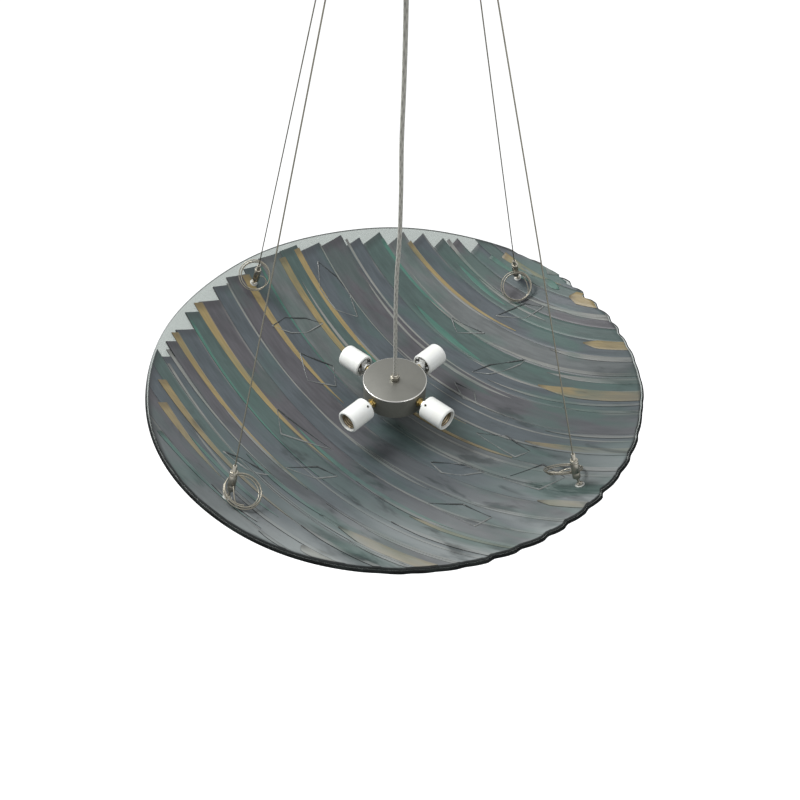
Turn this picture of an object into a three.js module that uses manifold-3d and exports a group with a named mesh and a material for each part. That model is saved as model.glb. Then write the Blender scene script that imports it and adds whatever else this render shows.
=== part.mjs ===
// Pendant lamp: a shallow fused-glass bowl on four steel cables, with a hub of four
// lampholders that hangs inside it on its own power cord. Millimetres, +Z up, origin on
// the ceiling at the middle of the ceiling plate.

import * as THREE from "three";
import { mergeVertices } from "three/addons/utils/BufferGeometryUtils.js";
import Module from "manifold-3d";

const wasm = await Module();
wasm.setup();

// Driving dimensions

const clearance = 0.3; // between pieces that touch
const facets = { large: 26, medium: 16, small: 10 }; // sides of a round, by its size

// ceiling canopy
const canopyRadius = 140;
const canopyDepth = 30;
const canopyWall = 2;
const canopyEdgeRound = 6;
const ceilingPlateRadius = 62;
const ceilingPlateThickness = 3;
const stemRadius = 6.5;
const plateSlotSpacing = 89; // for the screws of a 4 inch ceiling box
const plateSlotRadius = 2.6;
const plateSlotLength = 12;
const wireWindowWidth = 5; // through the stem
const wireWindowHeight = 9;

// levels under the canopy's flat bottom
const hubDrop = 640; // to the top of the hub's cover
const rimDrop = 595.4; // to the inside of the bowl's rim

// glass bowl
const bowlRadius = 381;
const bowlDepth = 130;
const glassThickness = 8;
const glassHoleRadius = 5;
const glassSeatRadius = 8; // flat ground round each hole
const holeInset = 35.5; // of a hole's middle from the rim
const bowlMeridianSteps = 6;
const bowlSides = 36;

// toothed part of the rim, where the glass strips end, in degrees from its first tooth
const toothedFrom = 52;
const toothedTo = -92;
const toothCount = 25;
const toothTurn = -8; // the teeth lean the other way beyond this azimuth
const toothDepth = 9; // of the deepest
const toothStep = 0.35; // degrees that the end of a tooth takes
const smoothRimSteps = 34;

// cables and the way they run
const firstCornerAzimuth = -40.4;
const cableRadius = 0.8;
const cableBallRadius = 2.4;
const cableBallCircleRadius = 106.5;
const cableBallLift = 2.1; // of the ball's middle over the canopy's inside
const cableSeatPlay = 0.65;
const cableEndAbovePivot = 15;

// grippers, measured along the cable from the middle of the ball joint
const gripperRadius = 5.7;
const gripperBottom = -3.4;
const gripperTop = 28;
const gripperCollarHeight = 4.5;
const gripperGroove = 0.8;
const ballRadius = 3.4;
const ballSocketClearance = 0.4;
const ballMouthRadius = 3.1;
const springSeat = 13;
const cableBoreRadius = 1.6;
const exitHeight = 8.3;
const exitHoleRadius = 1.5;

// plungers
const plungerRadius = 3.1;
const plungerShow = 10;
const plungerHeadRadius = 3.9;
const plungerHeadHeight = 3;
const plungerTravel = 2.5;
const collarLip = 1.6;

// plunger springs
const springWire = 0.7;
const springTurns = 3;
const springTurnSteps = 7;

// ball studs, bushings and cap nuts, measured down the stud from the ball's middle
const studReach = 16.35; // to the glass
const studNeckRadius = 1.9;
const studCollarRadius = 4.4;
const studCollarHeight = 2.2;
const studThreadRadius = 2.4;
const studThreadBelow = 8.5; // under the glass
const bushingFlangeRadius = 6.8;
const bushingFlangeHeight = 1.6;
const washerHeight = 1.4;
const capNutRadius = 7;
const capNutHeight = 11;

// surplus cable, coiled beside each gripper
const coilRadius = 24;
const coilLoops = 3;
const coilPitch = 2.2;
const coilLoopSteps = 24;
const coilSides = 6;
const coilLeadSteps = 8;
const coilEntryTurn = 0.25; // share of the first turn that rises into the first layer
const coilStart = 2; // from the barrel's axis
// A coil's middle is from the ball joint, with x outwards, y along the rim and z up. It faces
// an azimuth and an elevation; exit is the way out of the barrel and join is where the coil
// begins, in degrees; turns is its sense, and the hooks are the leads' handles.
const coilPlaces = {
  fr: { middle: [-24.5, 11.8, -18.4], faces: [144.7, 50.9], exit: 174, join: 349, turns: -1, hooks: [9.7, 9.5] },
  br: { middle: [-19.4, -17.3, -10.5], faces: [-150.3, 36], exit: 276, join: 27, turns: -1, hooks: [10.5, 10.3] },
  bl: { middle: [-1.7, 2.4, 9.3], faces: [143.7, 35.7], exit: 235, join: 73, turns: -1, hooks: [10, 17.4] },
  fl: { middle: [-8.9, 12, -4.6], faces: [122.6, 62.5], exit: 65, join: 202, turns: 1, hooks: [7, 15.3] },
};

// hub
const hubCoverLip = 1; // of the cover round the can
const hubCoverThickness = 3;
const hubCoverRound = 1.4;
const hubRingDepth = 5;
const hubCanRadius = 51.6;
const hubCanWall = 1.2;
const hubHeight = 39.8;
const hubCanRound = 3;

// slight wave of the power cord: x, y and the share of the way down
const cordWave = [
  [0.3, 0, 0.032],
  [1.2, 0, 0.111],
  [1.2, 0.5, 0.241],
  [0.4, 0.8, 0.354],
  [1.4, 0.6, 0.468],
  [1.2, 0, 0.581],
  [-1.2, -0.4, 0.678],
  [-1.6, -0.5, 0.775],
  [-0.9, -0.3, 0.873],
  [-0.2, 0, 0.945],
];

// cord grips
const gripRadius = 8;
const gripHeight = 7;
const gripJawRadius = 5.6;
const gripJawHeight = 4;
const gripBoreRadius = 3.6;
const gripNippleRadius = 4.8;
const gripNippleLength = 12;

// power cord
const cordRadius = 3;
const cordInGrip = 6;
const cordSides = 8;
const cordSteps = 28;

// lampholders, measured outwards from the hub's axis
const socketFirstAzimuth = -41;
const socketAxisDrop = 16.1; // under the hub cover's top
const socketBack = 68.4;
const socketMouth = 112.2;
const socketRadius = 19.05;
const socketMouthBore = 15.2;
const socketMouthDepth = 7;
const socketShellBore = 14;
const socketFloorAt = 81;
const socketBackFloorAt = 75.5;
const socketBackBore = 15.5;
const socketEdge = 1.6;
const socketVentRadius = 2.4;
const socketVentInset = 6.2;
const socketVentTurns = [35, -75, 75, -35]; // from the top, as each lampholder is screwed on
const shellOuterRadius = 13.3;
const shellThreadDepth = 0.9;
const shellWall = 0.6;
const shellThreadPitch = 3.63;
const shellThreads = 4;
const shellEndInset = 3.4; // from the mouth
const contactWidth = 8;
const contactThickness = 0.7;
const contactRise = 7;
const nippleRadius = 4.8;
const nippleBore = 3.2;
const nippleInside = 8; // behind the can's wall
const nippleHexRadius = 8;
const nippleHexThickness = 4;
const bracketInset = 1; // in the porcelain's back
const bracketPlateThickness = 1.4;
const bracketWidth = 12;
const bracketHalfSpan = 11.5;

// Levels and places that follow

const canopyBottomZ = -canopyDepth;
const hubTopZ = canopyBottomZ - hubDrop;
const rimZ = canopyBottomZ - rimDrop;
const bowlCurve = (bowlRadius ** 2 + bowlDepth ** 2) / (2 * bowlDepth);
const bowlCentreZ = rimZ - bowlDepth + bowlCurve;
const holeCircleRadius = bowlRadius - holeInset;
const hubCoverRadius = hubCanRadius + hubCoverLip;
const holeAngle = Math.asin(holeCircleRadius / bowlCurve);
const pivotRadius = (bowlCurve - studReach) * Math.sin(holeAngle);
const pivotZ = bowlCentreZ - (bowlCurve - studReach) * Math.cos(holeAngle);
const cableBallZ = canopyBottomZ + canopyWall + cableBallLift;
const cableRun = pivotRadius - cableBallCircleRadius;
const cableFall = cableBallZ - pivotZ;
const cableTilt = Math.atan2(cableRun, cableFall);
const cableSpan = Math.hypot(cableRun, cableFall);

const cornerNames = ["fr", "br", "bl", "fl"];
const radians = THREE.MathUtils.degToRad;
const vector = (x, y, z) => new THREE.Vector3(x, y, z);

// Finishes

function finish(colour, roughness, metalness, more = {}) {
  return new THREE.MeshStandardMaterial({ color: colour, roughness, metalness, ...more });
}

const finishes = {
  nickel: () => finish(0x9a9890, 0.35, 0.95),
  satinNickel: () => finish(0x93918a, 0.45, 0.9),
  darkCan: () => finish(0x4a4942, 0.5, 0.85),
  steelCable: () => finish(0x8d8a80, 0.45, 0.9),
  braid: () => finish(0x9b9a90, 0.75, 0.1),
  glass: () => finish(0x5b676a, 0.15, 0, { transparent: true, opacity: 0.85 }),
  porcelain: () => finish(0xf0f0ea, 0.15, 0),
  brass: () => finish(0xa58b3e, 0.35, 0.9),
  nylon: () => finish(0xe9e9e4, 0.5, 0),
  springSteel: () => finish(0x77756e, 0.4, 0.95),
};

// Solids

function signedVolume(position, faces) {
  const [a, b, c] = [vector(), vector(), vector()];
  let volume = 0;
  for (let i = 0; i < faces.length; i += 3) {
    a.fromBufferAttribute(position, faces[i]);
    b.fromBufferAttribute(position, faces[i + 1]);
    c.fromBufferAttribute(position, faces[i + 2]);
    volume += a.dot(b.cross(c)) / 6;
  }
  return volume;
}

function solid(geometry) {
  const bare = geometry.clone();
  bare.deleteAttribute("normal");
  bare.deleteAttribute("uv");
  const merged = mergeVertices(bare, 1e-4);
  const index = merged.index.array;
  const faces = [];
  for (let i = 0; i < index.length; i += 3) {
    const [a, b, c] = [index[i], index[i + 1], index[i + 2]];
    if (a !== b && b !== c && c !== a) faces.push(a, b, c);
  }
  if (signedVolume(merged.attributes.position, faces) < 0) faces.reverse();
  return new wasm.Manifold(
    new wasm.Mesh({
      numProp: 3,
      vertProperties: new Float32Array(merged.attributes.position.array),
      triVerts: new Uint32Array(faces),
    }),
  );
}

function geometryOf(manifold) {
  const mesh = manifold.getMesh();
  const geometry = new THREE.BufferGeometry();
  geometry.setAttribute("position", new THREE.BufferAttribute(new Float32Array(mesh.vertProperties), 3));
  geometry.setIndex(new THREE.BufferAttribute(new Uint32Array(mesh.triVerts), 1));
  return geometry;
}

// A round about Z from [radius, z] points, which close on themselves or on the axis.
function roundGeometry(profile, sides) {
  const points = profile.map(([radius, z]) => new THREE.Vector2(radius, z));
  if (profile[0][0] > 0) points.push(points[0].clone());
  return new THREE.LatheGeometry(points, sides).rotateX(Math.PI / 2);
}

const round = (profile, sides) => solid(roundGeometry(profile, sides));

// The same about X, from [radius, x] points.
const roundAlongX = (profile, sides) => solid(roundGeometry(profile, sides).rotateY(Math.PI / 2));

function arcPoints(centreRadius, centreZ, radius, fromDegrees, toDegrees, steps) {
  const points = [];
  for (let i = 0; i <= steps; i += 1) {
    const angle = radians(fromDegrees + ((toDegrees - fromDegrees) * i) / steps);
    points.push([centreRadius + radius * Math.cos(angle), centreZ + radius * Math.sin(angle)]);
  }
  return points;
}

function box(lengthX, lengthY, lengthZ, x, y, z) {
  return solid(new THREE.BoxGeometry(lengthX, lengthY, lengthZ).translate(x, y, z));
}

function rod(radius, fromZ, toZ, sides) {
  return round([[0, fromZ], [radius, fromZ], [radius, toZ], [0, toZ]], sides);
}

function rodAlongX(radius, fromX, toX, sides) {
  return roundAlongX([[0, fromX], [radius, fromX], [radius, toX], [0, toX]], sides);
}

function tube(curve, radius, sides, steps) {
  const section = new THREE.Shape();
  for (let i = 0; i < sides; i += 1) {
    const angle = (2 * Math.PI * i) / sides;
    const [x, y] = [radius * Math.cos(angle), radius * Math.sin(angle)];
    if (i === 0) section.moveTo(x, y);
    else section.lineTo(x, y);
  }
  section.closePath();
  return new THREE.ExtrudeGeometry(section, { steps, extrudePath: curve, bevelEnabled: false });
}

// Canopy

function ceilingPlate() {
  const plate = round(
    [[0, -ceilingPlateThickness], [ceilingPlateRadius, -ceilingPlateThickness], [ceilingPlateRadius, 0], [0, 0]],
    facets.large,
  );
  const stem = rod(stemRadius, canopyBottomZ + canopyWall + clearance, -ceilingPlateThickness / 2, facets.medium);
  const bore = rod(gripNippleRadius + clearance, canopyBottomZ, -ceilingPlateThickness - 4, facets.medium);
  const wireWindow = box(
    3 * stemRadius,
    wireWindowWidth,
    wireWindowHeight,
    0,
    0,
    -ceilingPlateThickness - wireWindowHeight,
  );
  let body = plate.add(stem).subtract(bore).subtract(wireWindow);
  for (const side of [-1, 1]) {
    const slot = box(
      plateSlotLength,
      2 * plateSlotRadius,
      3 * ceilingPlateThickness,
      (side * plateSlotSpacing) / 2,
      0,
      -ceilingPlateThickness / 2,
    );
    body = body.subtract(slot);
  }
  return geometryOf(body);
}

function canopyPan() {
  const inner = canopyRadius - canopyWall;
  const edge = canopyEdgeRound;
  const bore = gripNippleRadius + clearance;
  const shell = round(
    [
      [bore, canopyBottomZ],
      ...arcPoints(canopyRadius - edge, canopyBottomZ + edge, edge, -90, 0, 4),
      [canopyRadius, 0],
      [inner, 0],
      ...arcPoints(canopyRadius - edge, canopyBottomZ + edge, edge - canopyWall, 0, -90, 3),
      [bore, canopyBottomZ + canopyWall],
    ],
    facets.large,
  );
  let body = shell;
  for (let corner = 0; corner < cornerNames.length; corner += 1) {
    const seat = new THREE.CylinderGeometry(
      cableRadius + cableSeatPlay,
      cableRadius + cableSeatPlay,
      6 * cableBallRadius,
      10,
    );
    seat.rotateX(Math.PI / 2).rotateY(-cableTilt).translate(cableBallCircleRadius, 0, cableBallZ);
    seat.rotateZ(radians(firstCornerAzimuth + 90 * corner));
    body = body.subtract(solid(seat));
  }
  return geometryOf(body);
}

// A nut with a tapered jaw over it and a threaded nipple under it, standing on z = 0.
function cordGrip() {
  const nut = solid(
    new THREE.CylinderGeometry(gripRadius, gripRadius, gripHeight, 6)
      .rotateX(Math.PI / 2)
      .translate(0, 0, gripHeight / 2),
  );
  const jaw = round(
    [
      [0, gripHeight / 2],
      [gripJawRadius, gripHeight / 2],
      [gripJawRadius, gripHeight + gripJawHeight * 0.6],
      [gripBoreRadius + 0.9, gripHeight + gripJawHeight],
      [0, gripHeight + gripJawHeight],
    ],
    facets.medium,
  );
  const nipple = rod(gripNippleRadius, -gripNippleLength, gripHeight / 2, facets.medium);
  const bore = rod(gripBoreRadius, -2 * gripNippleLength, 2 * (gripHeight + gripJawHeight), facets.small);
  return geometryOf(nut.add(jaw).add(nipple).subtract(bore));
}

// Cables

// A cable with its swaged ball, hanging down -Z from the middle of the ball.
function cable() {
  const neck = 4.2;
  const length = cableSpan - cableEndAbovePivot;
  return geometryOf(
    round(
      [
        [0, -length],
        [cableRadius, -length],
        [cableRadius, -neck],
        ...arcPoints(0, 0, cableBallRadius, -62, 90, 5).slice(0, -1),
        [0, cableBallRadius],
      ],
      8,
    ),
  );
}

// Grippers, along +Z from the ball joint

function gripperBarrel(exitAngle) {
  const socketRadiusInside = ballRadius + ballSocketClearance;
  const mouthAngle = Math.acos(ballMouthRadius / socketRadiusInside) * THREE.MathUtils.RAD2DEG;
  const mouthZ = -Math.sqrt(socketRadiusInside ** 2 - ballMouthRadius ** 2);
  const collarBottom = gripperTop - gripperCollarHeight;
  const headBore = plungerHeadRadius + clearance;
  const lipBore = plungerRadius + clearance;
  const outside = round(
    [
      [0, gripperBottom],
      [gripperRadius - 0.9, gripperBottom],
      [gripperRadius, gripperBottom + 0.9],
      [gripperRadius, collarBottom - gripperGroove],
      [gripperRadius - 0.6, collarBottom - gripperGroove],
      [gripperRadius - 0.6, collarBottom],
      [gripperRadius, collarBottom],
      [gripperRadius, gripperTop - 0.6],
      [gripperRadius - 0.6, gripperTop],
      [0, gripperTop],
    ],
    facets.medium,
  );
  const socket = round(
    [
      [0, gripperBottom - 1],
      [ballMouthRadius, gripperBottom - 1],
      [ballMouthRadius, mouthZ],
      ...arcPoints(0, 0, socketRadiusInside, -mouthAngle, 90, 4).slice(1, -1),
      [0, socketRadiusInside],
    ],
    facets.small,
  );
  const cableBore = rod(cableBoreRadius, exitHeight - exitHoleRadius, springSeat + 1, facets.small);
  const springBore = rod(headBore, springSeat, gripperTop - collarLip, facets.small);
  const lip = rod(lipBore, springSeat, gripperTop + 1, facets.small);
  const exit = solid(
    new THREE.CylinderGeometry(exitHoleRadius, exitHoleRadius, gripperRadius + 1, 10)
      .rotateZ(Math.PI / 2)
      .translate((gripperRadius + 1) / 2, 0, exitHeight)
      .rotateZ(exitAngle),
  );
  const cuts = [socket, cableBore, springBore, lip, exit];
  return geometryOf(cuts.reduce((body, cut) => body.subtract(cut), outside));
}

function gripperPlunger() {
  const headTop = gripperTop - collarLip - clearance;
  const headBottom = headTop - plungerHeadHeight;
  const top = gripperTop + plungerShow;
  return geometryOf(
    round(
      [
        [cableBoreRadius, headBottom],
        [plungerHeadRadius, headBottom],
        [plungerHeadRadius, headTop],
        [plungerRadius, headTop],
        [plungerRadius, top - 0.7],
        [plungerRadius - 0.7, top],
        [cableBoreRadius, top],
      ],
      facets.small,
    ),
  );
}

// Coil spring on the barrel's seat, at the length that it has under a pressed plunger.
function gripperSpring() {
  const bottom = springSeat + clearance + springWire / 2;
  const pressedHead = gripperTop - collarLip - clearance - plungerHeadHeight - plungerTravel;
  const top = pressedHead - clearance - springWire / 2;
  const radius = plungerHeadRadius - springWire / 2;
  const steps = springTurns * springTurnSteps;
  const points = [];
  for (let i = 0; i <= steps; i += 1) {
    const share = i / steps;
    const angle = 2 * Math.PI * springTurns * share;
    points.push(vector(radius * Math.cos(angle), radius * Math.sin(angle), bottom + (top - bottom) * share));
  }
  return tubeThrough(points, springWire / 2, 4);
}

// An unbroken tube whose rings stand square to the path at each of its points.
function tubeThrough(points, radius, sides) {
  const positions = [];
  const faces = [];
  let across = null;
  points.forEach((point, i) => {
    const before = points[Math.max(i - 1, 0)];
    const after = points[Math.min(i + 1, points.length - 1)];
    const along = after.clone().sub(before).normalize();
    if (!across) across = Math.abs(along.z) < 0.9 ? vector(0, 0, 1) : vector(1, 0, 0);
    across = across.clone().addScaledVector(along, -across.dot(along)).normalize();
    const third = along.clone().cross(across);
    for (let side = 0; side < sides; side += 1) {
      const angle = (2 * Math.PI * side) / sides;
      const ring = point
        .clone()
        .addScaledVector(across, radius * Math.cos(angle))
        .addScaledVector(third, radius * Math.sin(angle));
      positions.push(ring.x, ring.y, ring.z);
    }
  });
  for (let i = 0; i + 1 < points.length; i += 1) {
    for (let side = 0; side < sides; side += 1) {
      const a = i * sides + side;
      const b = i * sides + ((side + 1) % sides);
      faces.push(a, b, b + sides, a, b + sides, a + sides);
    }
  }
  const last = (points.length - 1) * sides;
  for (let side = 1; side + 1 < sides; side += 1) {
    faces.push(0, side + 1, side);
    faces.push(last, last + side, last + side + 1);
  }
  const geometry = new THREE.BufferGeometry();
  geometry.setAttribute("position", new THREE.BufferAttribute(new Float32Array(positions), 3));
  geometry.setIndex(faces);
  return geometryOf(solid(geometry));
}

// Surplus cable: out of the gripper's side, then loops in two layers. Points are from the
// ball joint, with x outwards from the lamp's axis and z up.
function coilFrame(place) {
  const [azimuth, elevation] = place.faces.map(radians);
  const normal = vector(
    Math.cos(elevation) * Math.cos(azimuth),
    Math.cos(elevation) * Math.sin(azimuth),
    Math.sin(elevation),
  );
  const level = vector(-Math.sin(azimuth), Math.cos(azimuth), 0);
  const upright = normal.clone().cross(level).multiplyScalar(place.turns);
  return { normal, level, upright, middle: vector(...place.middle) };
}

function coilPoints(place) {
  const { normal, level, upright, middle } = coilFrame(place);
  const turnSteps = coilLoopSteps * coilLoops;
  const at = (share) => {
    const angle = radians(place.join) + 2 * Math.PI * coilLoops * share;
    const out = coilRadius + coilPitch * coilLoops * Math.min(share, 1 - share);
    const climb = THREE.MathUtils.smoothstep(share, 0.5 - 0.25 / coilLoops, 0.5 + 0.25 / coilLoops);
    const entering = Math.max(1 - (share * coilLoops) / coilEntryTurn, 0);
    return middle
      .clone()
      .addScaledVector(level, out * Math.cos(angle))
      .addScaledVector(upright, out * Math.sin(angle))
      .addScaledVector(normal, coilPitch * (climb - entering ** 2));
  };
  const way = vector(Math.cos(radians(place.exit)), Math.sin(radians(place.exit)), 0);
  const tilted = (point) => point.applyAxisAngle(vector(0, 1, 0), -cableTilt);
  const start = tilted(way.clone().multiplyScalar(coilStart).setZ(exitHeight));
  const outside = tilted(way.clone().multiplyScalar(gripperRadius + clearance + cableRadius).setZ(exitHeight));
  const exitWay = tilted(way);
  const entry = at(0);
  const entryWay = at(1 / (4 * turnSteps)).sub(entry).normalize();
  const lead = new THREE.CubicBezierCurve3(
    outside,
    outside.clone().addScaledVector(exitWay, place.hooks[0]),
    entry.clone().addScaledVector(entryWay, -place.hooks[1]),
    entry,
  );
  const points = [start, ...lead.getPoints(coilLeadSteps).slice(0, -1)];
  for (let i = 0; i <= turnSteps; i += 1) points.push(at(i / turnSteps));
  return points;
}

// Least gap between turns, on points that lie more than a quarter turn apart.
function leastGap(points) {
  const apart = coilLoopSteps / 4;
  let least = Infinity;
  for (let i = 0; i < points.length; i += 1) {
    for (let j = i + apart; j + 1 < points.length; j += 1) {
      const stretch = new THREE.Line3(points[j], points[j + 1]);
      const nearest = stretch.closestPointToPoint(points[i], true, vector());
      least = Math.min(least, nearest.distanceTo(points[i]));
    }
  }
  return least - 2 * cableRadius;
}

// Studs, bushings and cap nuts, along +Z up from the ball joint; the glass lies at -studReach

function ballStud() {
  const collarTop = -studReach + bushingFlangeHeight + clearance + studCollarHeight;
  const neckAngle = Math.acos(studNeckRadius / ballRadius) * THREE.MathUtils.RAD2DEG;
  const bottom = -studReach - glassThickness - studThreadBelow;
  return geometryOf(
    round(
      [
        [0, bottom],
        [studThreadRadius - 0.5, bottom],
        [studThreadRadius, bottom + 0.6],
        [studThreadRadius, collarTop - studCollarHeight],
        [studCollarRadius, collarTop - studCollarHeight],
        [studCollarRadius, collarTop],
        [studNeckRadius, collarTop],
        ...arcPoints(0, 0, ballRadius, -neckAngle, 90, 6).slice(0, -1),
        [0, ballRadius],
      ],
      facets.small,
    ),
  );
}

function glassBushing() {
  const top = -studReach + bushingFlangeHeight;
  const under = -studReach + clearance;
  const bottom = -studReach - glassThickness + clearance;
  const sleeve = glassHoleRadius - clearance;
  const bore = studThreadRadius + clearance;
  return geometryOf(
    round(
      [
        [bore, bottom],
        [sleeve, bottom],
        [sleeve, under],
        [bushingFlangeRadius, under],
        [bushingFlangeRadius, top - 0.4],
        [bushingFlangeRadius - 0.4, top],
        [bore, top],
      ],
      facets.small,
    ),
  );
}

function capNut() {
  const top = -studReach - glassThickness - clearance;
  const dome = capNutRadius - 1.2;
  const bore = studThreadRadius + clearance;
  return geometryOf(
    round(
      [
        [0, top - capNutHeight],
        ...arcPoints(0, top - capNutHeight + dome, dome, -72, 0, 3),
        [dome, top - washerHeight],
        [capNutRadius, top - washerHeight],
        [capNutRadius, top],
        [bore, top],
        [bore, top - studThreadBelow - clearance],
        [0, top - studThreadBelow - clearance],
      ],
      facets.small,
    ),
  );
}

// Glass bowl

// A fixed value from 0 to 1 for a whole number.
function scatter(number) {
  const wave = Math.sin(number * 12.9898) * 43758.5453;
  return wave - Math.floor(wave);
}

// Where one strip's end meets the next, round the toothed part of the rim.
function toothEdges() {
  const widths = [];
  for (let i = 0; i < toothCount; i += 1) widths.push(0.75 + 0.5 * scatter(i + 1));
  const total = widths.reduce((sum, width) => sum + width, 0);
  const edges = [toothedFrom];
  for (const width of widths) edges.push(edges.at(-1) + (width / total) * (toothedTo - toothedFrom));
  return edges;
}

function bowlOutline() {
  const edges = toothEdges();
  const points = [];
  const place = (azimuth, radius) => {
    points.push(new THREE.Vector2(radius * Math.cos(radians(azimuth)), radius * Math.sin(radians(azimuth))));
  };
  for (let i = 0; i < toothCount; i += 1) {
    const middle = (edges[i] + edges[i + 1]) / 2;
    const slope = THREE.MathUtils.clamp((middle - toothTurn) / 30, -1, 1);
    const fade = THREE.MathUtils.clamp((middle - toothedTo) / 30, 0.3, 1);
    const depth = toothDepth * fade * (0.5 + 0.5 * scatter(i + 51));
    const base = bowlRadius + 2 * (scatter(i + 31) - 0.5);
    place(edges[i] - toothStep, base - depth * Math.max(slope, 0.1));
    place(middle, base - (depth * Math.abs(slope)) / 4);
    place(edges[i + 1] + toothStep, base - depth * Math.max(-slope, 0.1));
  }
  for (let i = 0; i <= smoothRimSteps; i += 1) {
    place(toothedTo + ((toothedFrom - 360 - toothedTo) * i) / smoothRimSteps, bowlRadius);
  }
  return points.reverse();
}

function glassBowl() {
  const outer = bowlCurve + glassThickness;
  const lipAngle = Math.asin((bowlRadius + toothDepth) / bowlCurve) * THREE.MathUtils.RAD2DEG;
  const inside = arcPoints(0, bowlCentreZ, bowlCurve, -90 + lipAngle, -90, bowlMeridianSteps);
  const outside = arcPoints(0, bowlCentreZ, outer, -90, -90 + lipAngle, bowlMeridianSteps);
  inside[inside.length - 1][0] = 0;
  outside[0][0] = 0;
  const shell = round([...outside, ...inside], bowlSides);
  const prism = solid(
    new THREE.ExtrudeGeometry(new THREE.Shape(bowlOutline()), { depth: 3 * bowlDepth, bevelEnabled: false }).translate(
      0,
      0,
      rimZ - 2 * bowlDepth,
    ),
  );
  let body = shell.intersect(prism);
  for (let corner = 0; corner < cornerNames.length; corner += 1) {
    const hole = new THREE.CylinderGeometry(glassHoleRadius, glassHoleRadius, 4 * glassThickness, facets.small);
    hole.rotateX(Math.PI / 2).translate(0, 0, -studReach);
    const seat = new THREE.CylinderGeometry(glassSeatRadius, glassSeatRadius, glassThickness, facets.small);
    seat.rotateX(Math.PI / 2).translate(0, 0, -studReach + glassThickness / 2);
    for (const cut of [hole, seat]) {
      cut.rotateY(-holeAngle).translate(pivotRadius, 0, pivotZ);
      cut.rotateZ(radians(firstCornerAzimuth + 90 * corner));
      body = body.subtract(solid(cut));
    }
  }
  return geometryOf(body);
}

// Hub, with its cover's top at z = 0

function hubCover() {
  const edge = hubCoverRound;
  const ringOuter = hubCanRadius - hubCanWall - clearance;
  const ringInner = ringOuter - 1.2;
  const bore = gripNippleRadius + clearance;
  return geometryOf(
    round(
      [
        [bore, -hubCoverThickness],
        [ringInner, -hubCoverThickness],
        [ringInner, -hubCoverThickness - hubRingDepth],
        [ringOuter, -hubCoverThickness - hubRingDepth],
        [ringOuter, -hubCoverThickness],
        ...arcPoints(hubCoverRadius - edge, -hubCoverThickness + edge, edge, -90, 0, 2),
        ...arcPoints(hubCoverRadius - edge, -edge, edge, 0, 90, 2),
        [bore, 0],
      ],
      facets.large,
    ),
  );
}

function hubCan() {
  const top = -hubCoverThickness - clearance;
  const inner = hubCanRadius - hubCanWall;
  const edge = hubCanRound;
  let body = round(
    [
      [0, -hubHeight],
      ...arcPoints(hubCanRadius - edge, -hubHeight + edge, edge, -90, 0, 3),
      [hubCanRadius, top],
      [inner, top],
      [inner, -hubHeight + edge],
      [inner - 1, -hubHeight + hubCanWall],
      [0, -hubHeight + hubCanWall],
    ],
    facets.large,
  );
  for (let socket = 0; socket < cornerNames.length; socket += 1) {
    const hole = new THREE.CylinderGeometry(nippleRadius + clearance, nippleRadius + clearance, hubCanRadius, 12);
    hole.rotateZ(Math.PI / 2).translate(hubCanRadius, 0, -socketAxisDrop);
    hole.rotateZ(radians(socketFirstAzimuth + 90 * socket));
    body = body.subtract(solid(hole));
  }
  return geometryOf(body);
}

// Lampholders, along +X from the hub's axis

function socketPorcelain(ventTurn) {
  const outside = roundAlongX(
    [
      [0, socketBack],
      [socketRadius - socketEdge, socketBack],
      [socketRadius, socketBack + socketEdge],
      [socketRadius, socketMouth - socketEdge],
      [socketRadius - 0.5, socketMouth - 0.5],
      [socketRadius - socketEdge, socketMouth],
      [0, socketMouth],
    ],
    facets.medium,
  );
  const mouth = roundAlongX(
    [
      [0, socketFloorAt],
      [socketShellBore, socketFloorAt],
      [socketShellBore, socketMouth - socketMouthDepth],
      [socketMouthBore, socketMouth - socketMouthDepth + 1.2],
      [socketMouthBore, socketMouth + 1],
      [0, socketMouth + 1],
    ],
    facets.medium,
  );
  const well = rodAlongX(socketBackBore, socketBack - 1, socketBackFloorAt, facets.medium);
  const wireHole = rodAlongX(nippleBore, socketBackFloorAt - 1, socketFloorAt + 1, 8);
  const vent = solid(
    new THREE.CylinderGeometry(socketVentRadius, socketVentRadius, 8, 8)
      .rotateX(Math.PI / 2)
      .translate(socketBack + socketVentInset, 0, socketRadius)
      .rotateX(radians(ventTurn)),
  );
  return geometryOf(outside.subtract(mouth).subtract(well).subtract(wireHole).subtract(vent));
}

// Threaded towards the floor and plain towards the mouth.
function screwShell() {
  const from = socketFloorAt + clearance;
  const half = shellThreadPitch / 2;
  const outer = [];
  for (let i = 0; i <= 2 * shellThreads; i += 1) {
    outer.push([shellOuterRadius - (i % 2 ? 0 : shellThreadDepth), from + i * half]);
  }
  outer.push([shellOuterRadius, socketMouth - shellEndInset]);
  const inner = outer.map(([radius, x]) => [radius - shellWall, x]).reverse();
  return geometryOf(roundAlongX([...outer, ...inner], facets.small));
}

// A brass tongue on the socket's floor, bent up towards the lamp's cap.
function centreContact() {
  const floor = socketFloorAt + clearance;
  const thick = contactThickness;
  const outline = new THREE.Shape([
    new THREE.Vector2(floor, -8),
    new THREE.Vector2(floor + thick, -8),
    new THREE.Vector2(floor + thick, 5),
    new THREE.Vector2(floor + contactRise, -1.5),
    new THREE.Vector2(floor + contactRise + thick, -1),
    new THREE.Vector2(floor + thick + 0.6, 8),
    new THREE.Vector2(floor, 8),
  ]);
  const strip = new THREE.ExtrudeGeometry(outline, { depth: contactWidth, bevelEnabled: false });
  strip.translate(0, 0, -contactWidth / 2).rotateX(Math.PI / 2);
  return geometryOf(solid(strip));
}

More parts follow.
